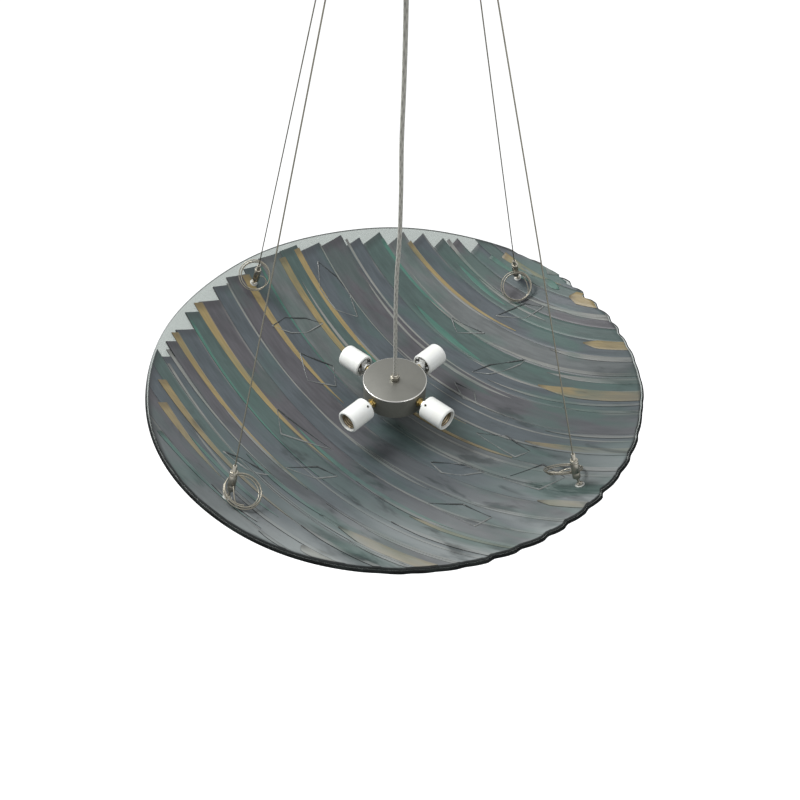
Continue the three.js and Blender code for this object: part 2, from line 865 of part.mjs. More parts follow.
// Brass tube through the can's wall, with a hexagon against the wall's outside.
function socketNipple() {
  const wallAt = hubCanRadius + clearance;
  const end = socketBackFloorAt - clearance;
  const pipe = rodAlongX(nippleRadius, hubCanRadius - nippleInside, end, facets.small);
  const hexagon = solid(
    new THREE.CylinderGeometry(nippleHexRadius, nippleHexRadius, nippleHexThickness, 6)
      .rotateZ(Math.PI / 2)
      .translate(wallAt + nippleHexThickness / 2, 0, 0),
  );
  const bore = rodAlongX(nippleBore, 0, socketMouth, 8);
  return geometryOf(pipe.add(hexagon).subtract(bore));
}

// Stamped strap in the porcelain's back, with two legs that reach its floor.
function socketBracket() {
  const from = socketBack + bracketInset;
  const thick = bracketPlateThickness;
  const legEnd = socketBackFloorAt - clearance;
  const span = 2 * bracketHalfSpan;
  let body = box(thick, bracketWidth, span, from + thick / 2, 0, 0);
  for (const side of [-1, 1]) {
    const legZ = side * (bracketHalfSpan - thick / 2);
    body = body.add(box(legEnd - from, bracketWidth, thick, (from + legEnd) / 2, 0, legZ));
    const foot = 4;
    const footZ = side * (bracketHalfSpan - foot / 2);
    body = body.add(box(thick, bracketWidth, foot, legEnd - thick / 2, 0, footZ));
  }
  const hole = rodAlongX(nippleRadius + clearance, 0, legEnd - thick, facets.small);
  return geometryOf(body.subtract(hole));
}

// Power cord, down from the canopy's grip to the hub's, with the slight wave of a hung cord
const canopyGripMouthZ = canopyBottomZ - clearance - gripHeight - gripJawHeight;
const hubGripMouthZ = hubTopZ + clearance + gripHeight + gripJawHeight;
const cordSpan = canopyGripMouthZ - hubGripMouthZ;
const cordRoute = [
  [0, 0, canopyGripMouthZ + cordInGrip],
  [0, 0, canopyGripMouthZ],
  ...cordWave.map(([x, y, share]) => [x, y, canopyGripMouthZ - share * cordSpan]),
  [0, 0, hubGripMouthZ + cordInGrip],
  [0, 0, hubGripMouthZ],
  [0, 0, hubGripMouthZ - cordInGrip],
];

function powerCord() {
  const curve = new THREE.CatmullRomCurve3(cordRoute.map(([x, y, z]) => vector(x, y, z)), false, "centripetal");
  return geometryOf(solid(tube(curve, cordRadius, cordSides, cordSteps)));
}

// The lamp

const lamp = new THREE.Group();

function addMesh(parent, name, geometry, material) {
  const mesh = new THREE.Mesh(geometry, material);
  mesh.name = name;
  parent.add(mesh);
  return mesh;
}

function placedGroup(parent, x, z, tilt) {
  const group = new THREE.Group();
  group.position.set(x, 0, z);
  group.rotation.y = tilt;
  parent.add(group);
  return group;
}

addMesh(lamp, "ceiling_plate", ceilingPlate(), finishes.satinNickel());
addMesh(lamp, "canopy_pan", canopyPan(), finishes.satinNickel());
const canopyGrip = addMesh(lamp, "canopy_cord_grip", cordGrip(), finishes.nickel());
canopyGrip.position.z = canopyBottomZ - clearance;
canopyGrip.rotation.x = Math.PI;
addMesh(lamp, "power_cord", powerCord(), finishes.braid());
addMesh(lamp, "glass_bowl", glassBowl(), finishes.glass());

cornerNames.forEach((name, i) => {
  const corner = new THREE.Group();
  corner.rotation.z = radians(firstCornerAzimuth + 90 * i);
  lamp.add(corner);

  const hanging = placedGroup(corner, cableBallCircleRadius, cableBallZ, -cableTilt);
  addMesh(hanging, `cable_${name}`, cable(), finishes.steelCable());

  const place = coilPlaces[name];
  const gripper = placedGroup(corner, pivotRadius, pivotZ, -cableTilt);
  addMesh(gripper, `gripper_barrel_${name}`, gripperBarrel(radians(place.exit)), finishes.nickel());
  addMesh(gripper, `gripper_plunger_${name}`, gripperPlunger(), finishes.nickel());
  addMesh(gripper, `gripper_spring_${name}`, gripperSpring(), finishes.springSteel());

  const points = coilPoints(place);
  console.log(`cable_coil_${name}: least gap to itself ${leastGap(points).toFixed(2)} mm`);
  const coil = placedGroup(corner, pivotRadius, pivotZ, 0);
  addMesh(coil, `cable_coil_${name}`, tubeThrough(points, cableRadius, coilSides), finishes.steelCable());

  const stud = placedGroup(corner, pivotRadius, pivotZ, -holeAngle);
  addMesh(stud, `ball_stud_${name}`, ballStud(), finishes.nickel());
  addMesh(stud, `glass_bushing_${name}`, glassBushing(), finishes.nylon());
  addMesh(stud, `cap_nut_${name}`, capNut(), finishes.nickel());
});

const hub = new THREE.Group();
hub.position.z = hubTopZ;
lamp.add(hub);
addMesh(hub, "hub_cover", hubCover(), finishes.satinNickel());
addMesh(hub, "hub_can", hubCan(), finishes.darkCan());
const hubGrip = addMesh(hub, "hub_cord_grip", cordGrip(), finishes.nickel());
hubGrip.position.z = clearance;

cornerNames.forEach((name, i) => {
  const socket = new THREE.Group();
  socket.rotation.z = radians(socketFirstAzimuth + 90 * i);
  socket.position.z = -socketAxisDrop;
  hub.add(socket);
  addMesh(socket, `socket_porcelain_${name}`, socketPorcelain(socketVentTurns[i]), finishes.porcelain());
  addMesh(socket, `screw_shell_${name}`, screwShell(), finishes.brass());
  addMesh(socket, `centre_contact_${name}`, centreContact(), finishes.brass());
  addMesh(socket, `socket_nipple_${name}`, socketNipple(), finishes.brass());
  addMesh(socket, `socket_bracket_${name}`, socketBracket(), finishes.nickel());
});

export default lamp;
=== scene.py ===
"""Pendant lamp with a bowl of fused glass strips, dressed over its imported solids."""

import math

import bpy
from bpy.props import FloatProperty, FloatVectorProperty, IntProperty, PointerProperty
from mathutils import Matrix, Vector


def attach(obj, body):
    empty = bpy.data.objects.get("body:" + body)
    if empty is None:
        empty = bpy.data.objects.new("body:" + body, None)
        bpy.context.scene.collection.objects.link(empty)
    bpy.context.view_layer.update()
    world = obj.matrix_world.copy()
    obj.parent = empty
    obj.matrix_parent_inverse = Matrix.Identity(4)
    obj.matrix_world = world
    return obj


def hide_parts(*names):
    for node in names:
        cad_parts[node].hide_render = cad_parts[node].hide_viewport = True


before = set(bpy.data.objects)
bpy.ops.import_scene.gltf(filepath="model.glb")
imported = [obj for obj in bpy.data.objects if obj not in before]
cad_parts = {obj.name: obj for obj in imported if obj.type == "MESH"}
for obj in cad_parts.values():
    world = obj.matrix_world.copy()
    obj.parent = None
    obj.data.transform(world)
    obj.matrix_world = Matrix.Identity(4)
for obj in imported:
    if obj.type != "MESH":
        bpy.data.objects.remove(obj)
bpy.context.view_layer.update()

bl_info = {
    "name": "Pendant lamp with a fused glass bowl",
    "version": (1, 0, 0),
    "blender": (4, 5, 0),
    "location": "View3D > Sidebar > Pendant lamp",
    "description": "Models and finishes a glass bowl pendant lamp, piece by piece",
    "category": "Object",
}

MM = 0.001
CORNERS = ("fr", "br", "bl", "fl")

# The lamp's own sizes, in metres and degrees
FIRST_CORNER = -40.4
FIRST_SOCKET = -41.0
CANOPY_BOTTOM = -30 * MM
HUB_TOP = -670 * MM
RIM_Z = -625.4 * MM
BOWL_RADIUS = 381 * MM
BOWL_DEPTH = 130 * MM
GLASS_THICKNESS = 8 * MM
HOLE_CIRCLE = 345.5 * MM
BOWL_CURVE = (BOWL_RADIUS**2 + BOWL_DEPTH**2) / (2 * BOWL_DEPTH)
BOWL_CENTRE = RIM_Z - BOWL_DEPTH + BOWL_CURVE
STUD_REACH = 16.35 * MM
HOLE_ANGLE = math.asin(HOLE_CIRCLE / BOWL_CURVE)
PIVOT_RADIUS = (BOWL_CURVE - STUD_REACH) * math.sin(HOLE_ANGLE)
PIVOT_Z = BOWL_CENTRE - (BOWL_CURVE - STUD_REACH) * math.cos(HOLE_ANGLE)
BALL_CIRCLE = 106.5 * MM
BALL_Z = CANOPY_BOTTOM + 4.1 * MM
CABLE_TILT = math.atan2(PIVOT_RADIUS - BALL_CIRCLE, BALL_Z - PIVOT_Z)
CABLE_SPAN = math.hypot(PIVOT_RADIUS - BALL_CIRCLE, BALL_Z - PIVOT_Z)
CABLE_RADIUS = 0.9 * MM
CORD_RADIUS = 3 * MM
SOCKET_DROP = 16.1 * MM
SOCKET_ROLL = (35, -75, 75, -35)


def turn(axis, degrees):
    return Matrix.Rotation(math.radians(degrees), 4, axis)


def move(x, y, z):
    return Matrix.Translation((x, y, z))


def leant(i, radius, height, lean):
    """A place at one corner's azimuth, leant in towards the axis."""
    return turn("Z", FIRST_CORNER + 90 * i) @ move(radius, 0, height) @ Matrix.Rotation(-lean, 4, "Y")


def gripper_place(i):
    return leant(i, PIVOT_RADIUS, PIVOT_Z, CABLE_TILT)


def stud_place(i):
    return leant(i, PIVOT_RADIUS, PIVOT_Z, HOLE_ANGLE)


def cable_place(i):
    return leant(i, BALL_CIRCLE, BALL_Z, CABLE_TILT)


def socket_place(i):
    """A place that sends +Z out along a lampholder from the hub's axis."""
    return turn("Z", FIRST_SOCKET + 90 * i) @ move(0, 0, HUB_TOP - SOCKET_DROP) @ turn("Y", 90)


def rolled_socket_place(i):
    """The same with the vent of a lampholder turned from the top towards the front."""
    return socket_place(i) @ turn("Z", SOCKET_ROLL[i])


# Settings that a user would change


def colour(name, description, value):
    return FloatVectorProperty(
        name=name, description=description, default=value, subtype="COLOR", size=3, min=0, max=1
    )


class PendantGlassSettings(bpy.types.PropertyGroup):
    slate: colour("Slate", "Blue grey strips", (0.070, 0.083, 0.092))
    umber: colour("Umber", "Warm grey strips", (0.076, 0.074, 0.081))
    dusk: colour("Dusk", "Strips between slate and teal", (0.060, 0.090, 0.084))
    mist: colour("Mist", "Paler grey strips", (0.112, 0.122, 0.122))
    teal: colour("Teal", "Green blue slivers", (0.060, 0.144, 0.115))
    amber: colour("Amber", "Gold slivers", (0.245, 0.190, 0.090))
    pale: colour("Pale", "Thin milky slivers", (0.200, 0.203, 0.190))
    clear: colour("Clear", "Base glass", (0.420, 0.455, 0.435))
    strip_thickness: FloatProperty(
        name="Strip thickness", description="Thickness of a fused strip", default=3 * MM,
        min=1 * MM, max=5 * MM, unit="LENGTH",
    )
    strip_gap: FloatProperty(
        name="Strip gap", description="Groove left between two strips", default=0.15 * MM,
        min=0, max=3 * MM, unit="LENGTH",
    )
    shard_count: IntProperty(
        name="Shards", description="Clear shards on the bowl", default=14, min=0, max=40,
    )


class PendantMetalSettings(bpy.types.PropertyGroup):
    plate: colour("Plate", "Satin nickel of the hub and canopy", (0.203, 0.203, 0.184))
    # The plate's rolled edge takes this brighter nickel: partly polish, partly a painted highlight where
    # its curve catches the light
    edge: colour("Plate edge", "Polished edge of the hub's plate", (0.640, 0.630, 0.600))
    fittings: colour("Fittings", "Bright nickel of the grippers", (0.410, 0.390, 0.335))
    can: colour("Can", "Dark metal under the hub's plate", (0.190, 0.190, 0.165))
    cable: colour("Cable", "Steel of the taut cables", (0.240, 0.230, 0.185))
    coil: colour("Coil", "Steel of the coils of surplus cable", (0.390, 0.368, 0.305))
    brass: colour("Brass", "Brass of the nipples and screw shells", (0.560, 0.430, 0.180))
    bright: colour("Bright", "Plated strip of the brackets", (0.780, 0.785, 0.765))


class PendantCordSettings(bpy.types.PropertyGroup):
    braid: colour("Braid", "Silver grey sleeve of the cord", (0.370, 0.365, 0.325))
    porcelain: colour("Porcelain", "Glaze of the lampholders", (0.865, 0.875, 0.855))


class PendantStageSettings(bpy.types.PropertyGroup):
    world_strength: FloatProperty(
        name="Room light", description="Strength of the even light from all round", default=0.55,
        min=0, max=3,
    )
    key_power: FloatProperty(
        name="Key light", description="Power of the main soft light", default=18.5,
        min=0, max=500, unit="POWER",
    )
    fill_power: FloatProperty(
        name="Fill light", description="Power of the second soft light", default=8,
        min=0, max=500, unit="POWER",
    )
    floor_drop: FloatProperty(
        name="Floor drop", description="Distance of the floor under the bowl", default=1.1,
        min=0.2, max=3, unit="LENGTH",
    )


# Node trees


def add_node(tree, kind, inputs=None, **settings):
    """Add a node, set its options, and set or link its inputs."""
    new = tree.nodes.new(kind)
    for key, value in settings.items():
        setattr(new, key, value)
    for key, value in (inputs or {}).items():
        if isinstance(value, bpy.types.NodeSocket):
            tree.links.new(value, new.inputs[key])
        else:
            new.inputs[key].default_value = value
    return new


def maths(tree, operation, first, second=0.0, clamp=False):
    inputs = {0: first, 1: second}
    return add_node(tree, "ShaderNodeMath", inputs, operation=operation, use_clamp=clamp).outputs[0]


def plus(tree, first, second):
    return maths(tree, "ADD", first, second)


def times(tree, first, second):
    return maths(tree, "MULTIPLY", first, second)


def remap(tree, value, low, high, out_low=0.0, out_high=1.0):
    names = {"Value": value, "From Min": low, "From Max": high, "To Min": out_low, "To Max": out_high}
    return add_node(tree, "ShaderNodeMapRange", names, interpolation_type="SMOOTHSTEP").outputs[0]


def blended(tree, factor, first, second):
    colours = [v if isinstance(v, bpy.types.NodeSocket) else (*v[:3], 1) for v in (first, second)]
    inputs = {0: factor, 6: colours[0], 7: colours[1]}
    return add_node(tree, "ShaderNodeMix", inputs, data_type="RGBA", blend_type="MIX").outputs[2]


def scaled(tint, factor):
    return tuple(factor * c for c in tint)


def noise(tree, vector, scale, detail=3.0, roughness=0.55, distortion=0.0):
    inputs = {"Vector": vector, "Scale": scale, "Detail": detail, "Roughness": roughness,
              "Distortion": distortion}
    return add_node(tree, "ShaderNodeTexNoise", inputs).outputs["Fac"]


def stretched(tree, vector, scale):
    return add_node(tree, "ShaderNodeMapping", {"Vector": vector, "Scale": scale}).outputs[0]


def split(tree, vector):
    return add_node(tree, "ShaderNodeSeparateXYZ", {0: vector}).outputs


def flattened(tree, parts):
    return add_node(tree, "ShaderNodeCombineXYZ", {"X": parts["X"], "Y": parts["Y"]}).outputs[0]


def length_of(tree, vector):
    return add_node(tree, "ShaderNodeVectorMath", {0: vector}, operation="LENGTH").outputs["Value"]


def seen_directly(tree):
    """One for the rays that show a thing itself: from the camera, through glass or off a gloss."""
    path = tree.nodes.new("ShaderNodeLightPath").outputs
    seen = maths(tree, "MAXIMUM", path["Is Camera Ray"], path["Is Transmission Ray"])
    return maths(tree, "MAXIMUM", seen, path["Is Glossy Ray"])


def new_group(name, inputs, outputs):
    tree = bpy.data.node_groups.new(name, "ShaderNodeTree")
    for direction, sockets in (("INPUT", inputs), ("OUTPUT", outputs)):
        for label, kind in sockets.items():
            tree.interface.new_socket(label, in_out=direction, socket_type=f"NodeSocket{kind}")
    return tree, tree.nodes.new("NodeGroupInput").outputs, tree.nodes.new("NodeGroupOutput").inputs


def wear_group():
    """Patchy dulling and fine grain that every finish shares."""
    name = "Lamp handling marks"
    if name in bpy.data.node_groups:
        return bpy.data.node_groups[name]
    tree, given, made = new_group(
        name,
        {"Coordinates": "Vector", "Patch scale": "Float", "Grain scale": "Float"},
        {"Patches": "Float", "Grain": "Float"},
    )
    patches = noise(tree, given["Coordinates"], given["Patch scale"], 4, 0.6, 0.4)
    grain = noise(tree, given["Coordinates"], given["Grain scale"], 2, 0.7)
    tree.links.new(remap(tree, patches, 0.35, 0.68), made["Patches"])
    tree.links.new(grain, made["Grain"])
    return tree


def glass_shade_group():
    """Colour of fused glass from a strip's own colour: smoke, streaks, mist with a painted sheen, a painted
    highlight and shade along a strip's sides, and a dark rim and outward faces of painted shade.
    """
    name = "Fused glass colour"
    if name in bpy.data.node_groups:
        return bpy.data.node_groups[name]
    tree, given, made = new_group(
        name,
        {"Colour": "Color", "Place": "Vector", "Strip": "Vector"},
        {"Colour": "Color", "Height": "Float", "Haze": "Float"},
    )
    place = given["Place"]
    parts = split(tree, place)
    flat = flattened(tree, parts)
    along = split(tree, given["Strip"])

    # Fine streaks along the strip
    streak = noise(tree, stretched(tree, given["Strip"], (5, 1.6, 1)), 3.2, 4, 0.6)
    inputs = {0: given["Colour"], "Scale": remap(tree, streak, 0.3, 0.7, 0.86, 1.16)}
    shade = add_node(tree, "ShaderNodeVectorMath", inputs, operation="SCALE").outputs[0]

    # Green clouds, mist, smoke and spots, drawn out one way over the whole bowl; the mist is partly a
    # painted sheen
    inputs = {"Vector": flat, "Rotation": (0, 0, -0.70), "Scale": (3.4, 1, 1)}
    drawn = add_node(tree, "ShaderNodeMapping", inputs, vector_type="TEXTURE").outputs[0]
    slope = plus(tree, parts["Y"], times(tree, parts["X"], -0.25))
    lower = remap(tree, slope, 0.10, -0.27)
    cloud = remap(tree, noise(tree, drawn, 21, 3, 0.5, 0.3), 0.48, 0.64)
    share = remap(tree, parts["X"], -0.1, 0.25, 0.32, 0.66)
    shade = blended(tree, times(tree, cloud, share), shade, (0.056, 0.112, 0.093))
    veil = noise(tree, drawn, 12, 4, 0.55, 0.6)
    # Mist towards the front: partly hazy glass, partly a painted reflection of the bright room, paler
    # nearer the front rim
    mist = times(tree, lower, remap(tree, veil, 0.32, 0.62, 0.30, 0.80))
    pale = blended(tree, remap(tree, slope, -0.16, -0.37), (0.100, 0.118, 0.124), (0.330, 0.355, 0.352))
    shade = blended(tree, mist, shade, pale)
    broad = remap(tree, noise(tree, drawn, 14, 4, 0.6, 0.7), 0.52, 0.70)
    fine = remap(tree, noise(tree, drawn, 30, 4, 0.6, 0.5), 0.55, 0.68)
    smoke = maths(tree, "ADD", times(tree, broad, 0.7), times(tree, fine, 0.7), True)
    amount = times(tree, smoke, remap(tree, lower, 0, 0.6, 0.28, 0.86))
    shade = blended(tree, amount, shade, (0.022, 0.029, 0.030))
    spots = add_node(tree, "ShaderNodeTexVoronoi", {"Vector": drawn, "Scale": 15.0}).outputs["Distance"]
    spots = times(tree, remap(tree, spots, 0.09, 0.05, 0, 0.55), lower)
    shade = blended(tree, spots, shade, (0.018, 0.026, 0.026))

    # A pale line on one side of a strip and a dark one on the other: painted highlight and painted shade
    # along the strip's edges
    lit = times(tree, remap(tree, along["Y"], 0.13, 0.03), remap(tree, noise(tree, place, 5), 0.48, 0.62))
    shade = blended(tree, times(tree, lit, 0.54), shade, (0.215, 0.218, 0.205))
    shaded_edge = remap(tree, along["Y"], 0.93, 1.0)
    shade = blended(tree, times(tree, shaded_edge, 0.35), shade, (0.035, 0.037, 0.037))
    pool = times(tree, remap(tree, noise(tree, drawn, 15, 2, 0.5, 0.2), 0.55, 0.66), lower)
    shade = blended(tree, times(tree, pool, 0.45), shade, (0.070, 0.130, 0.112))

    # Darker where a strip begins; painted shade at the rim and on the faces that look outwards
    start = remap(tree, along["X"], 0.020, 0.0)
    shade = blended(tree, times(tree, start, 0.5), shade, (0.022, 0.020, 0.022))
    rim = remap(tree, length_of(tree, flat), 0.3770, 0.3805)
    shade = blended(tree, times(tree, rim, 0.5), shade, (0.014, 0.019, 0.019))
    inputs = {0: tree.nodes.new("ShaderNodeTexCoord").outputs["Normal"], 1: flat}
    outward = add_node(tree, "ShaderNodeVectorMath", inputs, operation="DOT_PRODUCT").outputs["Value"]
    wall = remap(tree, outward, 0.05, 0.16)
    shade = blended(tree, times(tree, wall, 0.9), shade, (0.012, 0.015, 0.015))

    tree.links.new(shade, made["Colour"])
    tree.links.new(plus(tree, times(tree, streak, 0.6), noise(tree, place, 60, 3, 0.5)), made["Height"])
    tree.links.new(remap(tree, veil, 0.3, 0.7, 0.30, 0.44), made["Haze"])
    return tree


def new_material(name, values=None):
    """A new material, its nodes and its shader with fixed values, or no nodes if it exists."""
    if name in bpy.data.materials:
        return bpy.data.materials[name], None, None
    material = bpy.data.materials.new(name)
    material.use_nodes = True
    tree = material.node_tree
    tree.nodes.clear()
    shader = add_node(tree, "ShaderNodeBsdfPrincipled", values)
    add_node(tree, "ShaderNodeOutputMaterial", {"Surface": shader.outputs[0]})
    return material, tree, shader


def coat(tree, shader, shade, rough, relief=None):
    """Link a colour, a roughness and a relief of height, strength and distance to a shader."""
    tree.links.new(shade, shader.inputs["Base Color"])
    tree.links.new(rough, shader.inputs["Roughness"])
    if relief:
        bump = add_node(tree, "ShaderNodeBump", dict(zip(("Height", "Strength", "Distance"), relief)))
        tree.links.new(bump.outputs[0], shader.inputs["Normal"])


def coordinates(tree):
    """Object coordinates and, where a pattern follows a piece, its own UV map."""
    return tree.nodes.new("ShaderNodeTexCoord").outputs


def marks(tree, place, patch_scale, grain_scale):
    """Patches and grain of the shared handling marks."""
    inputs = {"Coordinates": place, "Patch scale": patch_scale, "Grain scale": grain_scale}
    made = add_node(tree, "ShaderNodeGroup", inputs, node_tree=wear_group()).outputs
    return made["Patches"], made["Grain"]


def metal(name, tint, roughness, patch_scale=60, grain_scale=1500, brushed=0.0, metallic=1.0):
    """Plated or bare metal; brushed draws rings of fine lines round the vertical."""
    material, tree, shader = new_material(name, {"Metallic": metallic})
    if tree is None:
        return material
    place = coordinates(tree)["Object"]
    patches, height = marks(tree, place, patch_scale, grain_scale)
    shade = blended(tree, times(tree, patches, 0.55), tint, scaled(tint, 0.72))
    rough = plus(tree, times(tree, patches, 0.12), roughness)
    if brushed:
        parts = split(tree, place)
        rings = {"X": length_of(tree, flattened(tree, parts)), "Y": parts["Z"]}
        rings = add_node(tree, "ShaderNodeCombineXYZ", rings).outputs[0]
        lines = noise(tree, rings, brushed, 3, 0.7)
        height = plus(tree, height, lines)
        rough = plus(tree, rough, times(tree, lines, 0.14))
    coat(tree, shader, shade, rough, (height, 0.06, 0.0004))
    return material


def bright_nickel(metals):
    return metal("Bright nickel", metals.fittings, 0.24)


def satin_nickel(metals):
    return metal("Satin nickel", metals.plate, 0.34, 14, 1400, 5200)


def stranded(name, tint, pitch):
    """Steel cable: strands twisting round, read from the piece's own UV map."""
    material, tree, shader = new_material(name, {"Metallic": 0.9})
    if tree is None:
        return material
    place = coordinates(tree)
    parts = split(tree, stretched(tree, place["UV"], (pitch, 6, 1)))
    turns = times(tree, plus(tree, parts["X"], parts["Y"]), math.pi)
    wave = maths(tree, "ABSOLUTE", maths(tree, "SINE", turns))
    dirt = noise(tree, place["Object"], 90, 3)
    # Grooves between the strands are darker than the wire: painted shade
    shade = blended(tree, wave, scaled(tint, 0.32), tint)
    shade = blended(tree, remap(tree, dirt, 0.45, 0.75, 0, 0.35), shade, scaled(tint, 0.5))
    coat(tree, shader, shade, remap(tree, dirt, 0.3, 0.7, 0.32, 0.5), (wave, 0.5, 0.0002))
    return material


def braid_material(name, tint):
    """Two sets of ribbons that cross over and under round the cord, lighter on top and darker where they
    dip under: painted highlight and painted shade.
    """
    material, tree, shader = new_material(name, {"Sheen Weight": 0.3})
    if tree is None:
        return material
    place = coordinates(tree)
    parts = split(tree, place["UV"])
    run = times(tree, parts["X"], 110)
    around = times(tree, parts["Y"], 8)
    ribbons = []
    for sign in (1, -1):
        lean = plus(tree, run, times(tree, around, sign))
        ribbons.append(maths(tree, "SINE", times(tree, lean, math.pi)))
    over = maths(tree, "MAXIMUM", ribbons[0], times(tree, ribbons[1], 0.9))
    fibre = noise(tree, place["Object"], 900, 3, 0.7)
    level = plus(tree, times(tree, over, 0.7), times(tree, fibre, 0.4))
    soil = noise(tree, place["Object"], 35, 3)
    bright = tuple(min(c, 1) for c in scaled(tint, 1.15))
    # Ribbons on top lighter than the tint and ribbons underneath darker: painted highlight and painted
    # shade in the weave
    shade = blended(tree, remap(tree, level, -0.3, 0.95), scaled(tint, 0.7), bright)
    shade = blended(tree, remap(tree, soil, 0.45, 0.75, 0, 0.25), shade, scaled(tint, 0.6))
    coat(tree, shader, shade, remap(tree, fibre, 0.3, 0.7, 0.55, 0.75), (level, 0.45, 0.0004))
    return material


def porcelain_material(tint):
    values = {"Coat Weight": 0.3, "Coat Roughness": 0.16}
    material, tree, shader = new_material("Glazed porcelain", values)
    if tree is None:
        return material
    place = coordinates(tree)["Object"]
    patches = marks(tree, place, 45, 700)[0]
    warm = (tint[0] * 0.93, tint[1] * 0.92, tint[2] * 0.86)
    shade = blended(tree, times(tree, patches, 0.5), tint, warm)
    specks = remap(tree, noise(tree, place, 420, 2, 0.5), 0.74, 0.80)
    shade = blended(tree, times(tree, specks, 0.35), shade, (0.42, 0.38, 0.32))
    rough = plus(tree, times(tree, patches, 0.1), 0.32)
    coat(tree, shader, shade, rough, (noise(tree, place, 120, 2), 0.12, 0.0005))
    return material


def plastic_material(name, tint, roughness):
    material, tree, shader = new_material(name)
    if tree is None:
        return material
    patches, grain = marks(tree, coordinates(tree)["Object"], 80, 1300)
    shade = blended(tree, times(tree, patches, 0.6), tint, scaled(tint, 0.8))
    coat(tree, shader, shade, plus(tree, times(tree, grain, 0.15), roughness), (grain, 0.2, 0.0002))
    return material


def strip_material(name, tint):
    """One glass colour, laid along each strip by its UV map."""
    material, tree, shader = new_material(name, {"IOR": 1.45, "Specular IOR Level": 0.3})
    if tree is None:
        return material
    place = coordinates(tree)
    inputs = {"Colour": (*tint, 1), "Place": place["Object"], "Strip": place["UV"]}
    made = add_node(tree, "ShaderNodeGroup", inputs, node_tree=glass_shade_group()).outputs
    coat(tree, shader, made["Colour"], made["Haze"], (made["Height"], 0.16, 0.0012))
    return material


def clear_material(name, tint, roughness, transmission):
    material, tree, shader = new_material(name, {"Transmission Weight": transmission, "IOR": 1.45})
    if tree is None:
        return material
    place = coordinates(tree)["Object"]
    ripple = noise(tree, place, 22, 3, 0.5, 0.4)
    seeds = remap(tree, noise(tree, place, 260, 2, 0.5), 0.72, 0.8)
    shade = blended(tree, times(tree, seeds, 0.3), tint, scaled(tint, 0.7))
    rough = remap(tree, ripple, 0.3, 0.7, roughness, roughness + 0.1)
    coat(tree, shader, shade, rough, (ripple, 0.18, 0.002))
    return material


# Modelling


def start_piece():
    """Leave edit mode and clear the selection."""
    if bpy.context.object and bpy.context.object.mode != "OBJECT":
        bpy.ops.object.mode_set(mode="OBJECT")
    bpy.ops.object.select_all(action="DESELECT")


def named(piece, name):
    piece.name = name
    piece.data.name = name
    return piece


def take(name):
    return named(bpy.context.object, name)


def select_only(piece):
    start_piece()
    piece.select_set(True)
    bpy.context.view_layer.objects.active = piece


def settle():
    """Move the active piece's own transform into its mesh."""
    bpy.ops.object.transform_apply(location=True, rotation=True, scale=True)


def apply_modifier(piece, kind, **settings):
    select_only(piece)
    modifier = piece.modifiers.new(kind.title(), kind)
    for key, value in settings.items():
        setattr(modifier, key, value)
    bpy.ops.object.modifier_apply(modifier=modifier.name)


def soften(piece, width, segments=2, angle=40):
    apply_modifier(piece, "BEVEL", width=width, segments=segments, limit_method="ANGLE",
                   angle_limit=math.radians(angle), use_clamp_overlap=True)


def smooth(piece, angle=35):
    select_only(piece)
    bpy.ops.object.shade_smooth_by_angle(angle=math.radians(angle))


def face_outwards():
    """Turn every face of the mesh in edit mode outwards, and leave edit mode."""
    bpy.ops.mesh.select_all(action="SELECT")
    bpy.ops.mesh.normals_make_consistent(inside=False)
    bpy.ops.object.mode_set(mode="OBJECT")


def turned(name, profile, steps=48):
    """Spin a profile of (radius, height) points, in millimetres, round Z into a closed solid."""
    start_piece()
    bpy.ops.mesh.primitive_plane_add(size=MM)
    piece = take(name)
    bpy.ops.object.mode_set(mode="EDIT")
    bpy.ops.mesh.select_all(action="SELECT")
    bpy.ops.mesh.merge(type="CENTER")
    bpy.ops.mesh.select_all(action="SELECT")
    here = Vector((profile[0][0], 0, profile[0][1])) * MM
    bpy.ops.transform.translate(value=here)
    for radius, height in profile[1:]:
        there = Vector((radius, 0, height)) * MM
        bpy.ops.mesh.extrude_region_move(TRANSFORM_OT_translate={"value": there - here})
        here = there
    bpy.ops.mesh.select_all(action="SELECT")
    bpy.ops.mesh.spin(steps=steps, angle=2 * math.pi, center=(0, 0, 0), axis=(0, 0, 1))
    bpy.ops.mesh.select_all(action="SELECT")
    bpy.ops.mesh.remove_doubles(threshold=2e-6)
    bpy.ops.mesh.dissolve_degenerate(threshold=1e-7)
    face_outwards()
    return piece


def arc(radius, height, size, first, last, steps=4):
    """Profile points round a corner, from one angle to another in degrees."""
    points = []
    for i in range(steps + 1):
        angle = math.radians(first + (last - first) * i / steps)
        points.append((radius + size * math.cos(angle), height + size * math.sin(angle)))
    return points


def tube(inner, outer, low, high):
    """The closed profile of a plain tube."""
    return [(inner, low), (outer, low), (outer, high), (inner, high), (inner, low)]


def hexagon(inner, outer, low, high, width):
    """A nut with softened edges; sizes in millimetres but for the width of the edges."""
    nut = turned("nut", tube(inner, outer, low, high), 6)
    soften(nut, width, 3, 30)
    return nut


def block(name, size, centre):
    """A box of given size, in millimetres."""
    start_piece()
    bpy.ops.mesh.primitive_cube_add(size=1)
    piece = take(name)
    piece.scale = Vector(size) * MM
    piece.location = Vector(centre) * MM
    settle()
    return piece


def rod(radius, depth):
    """A round bit along Z, in millimetres."""
    start_piece()
    bpy.ops.mesh.primitive_cylinder_add(vertices=24, radius=radius * MM, depth=depth * MM)
    return take("bit")


def drill(piece, radius, depth, centre, lean=0):
    """Take a round hole out of a piece, leant about Y in degrees; sizes in millimetres."""
    bit = rod(radius, depth)
    bit.rotation_euler = (0, math.radians(lean), 0)
    bit.location = Vector(centre) * MM
    settle()
    cut_with(piece, bit)


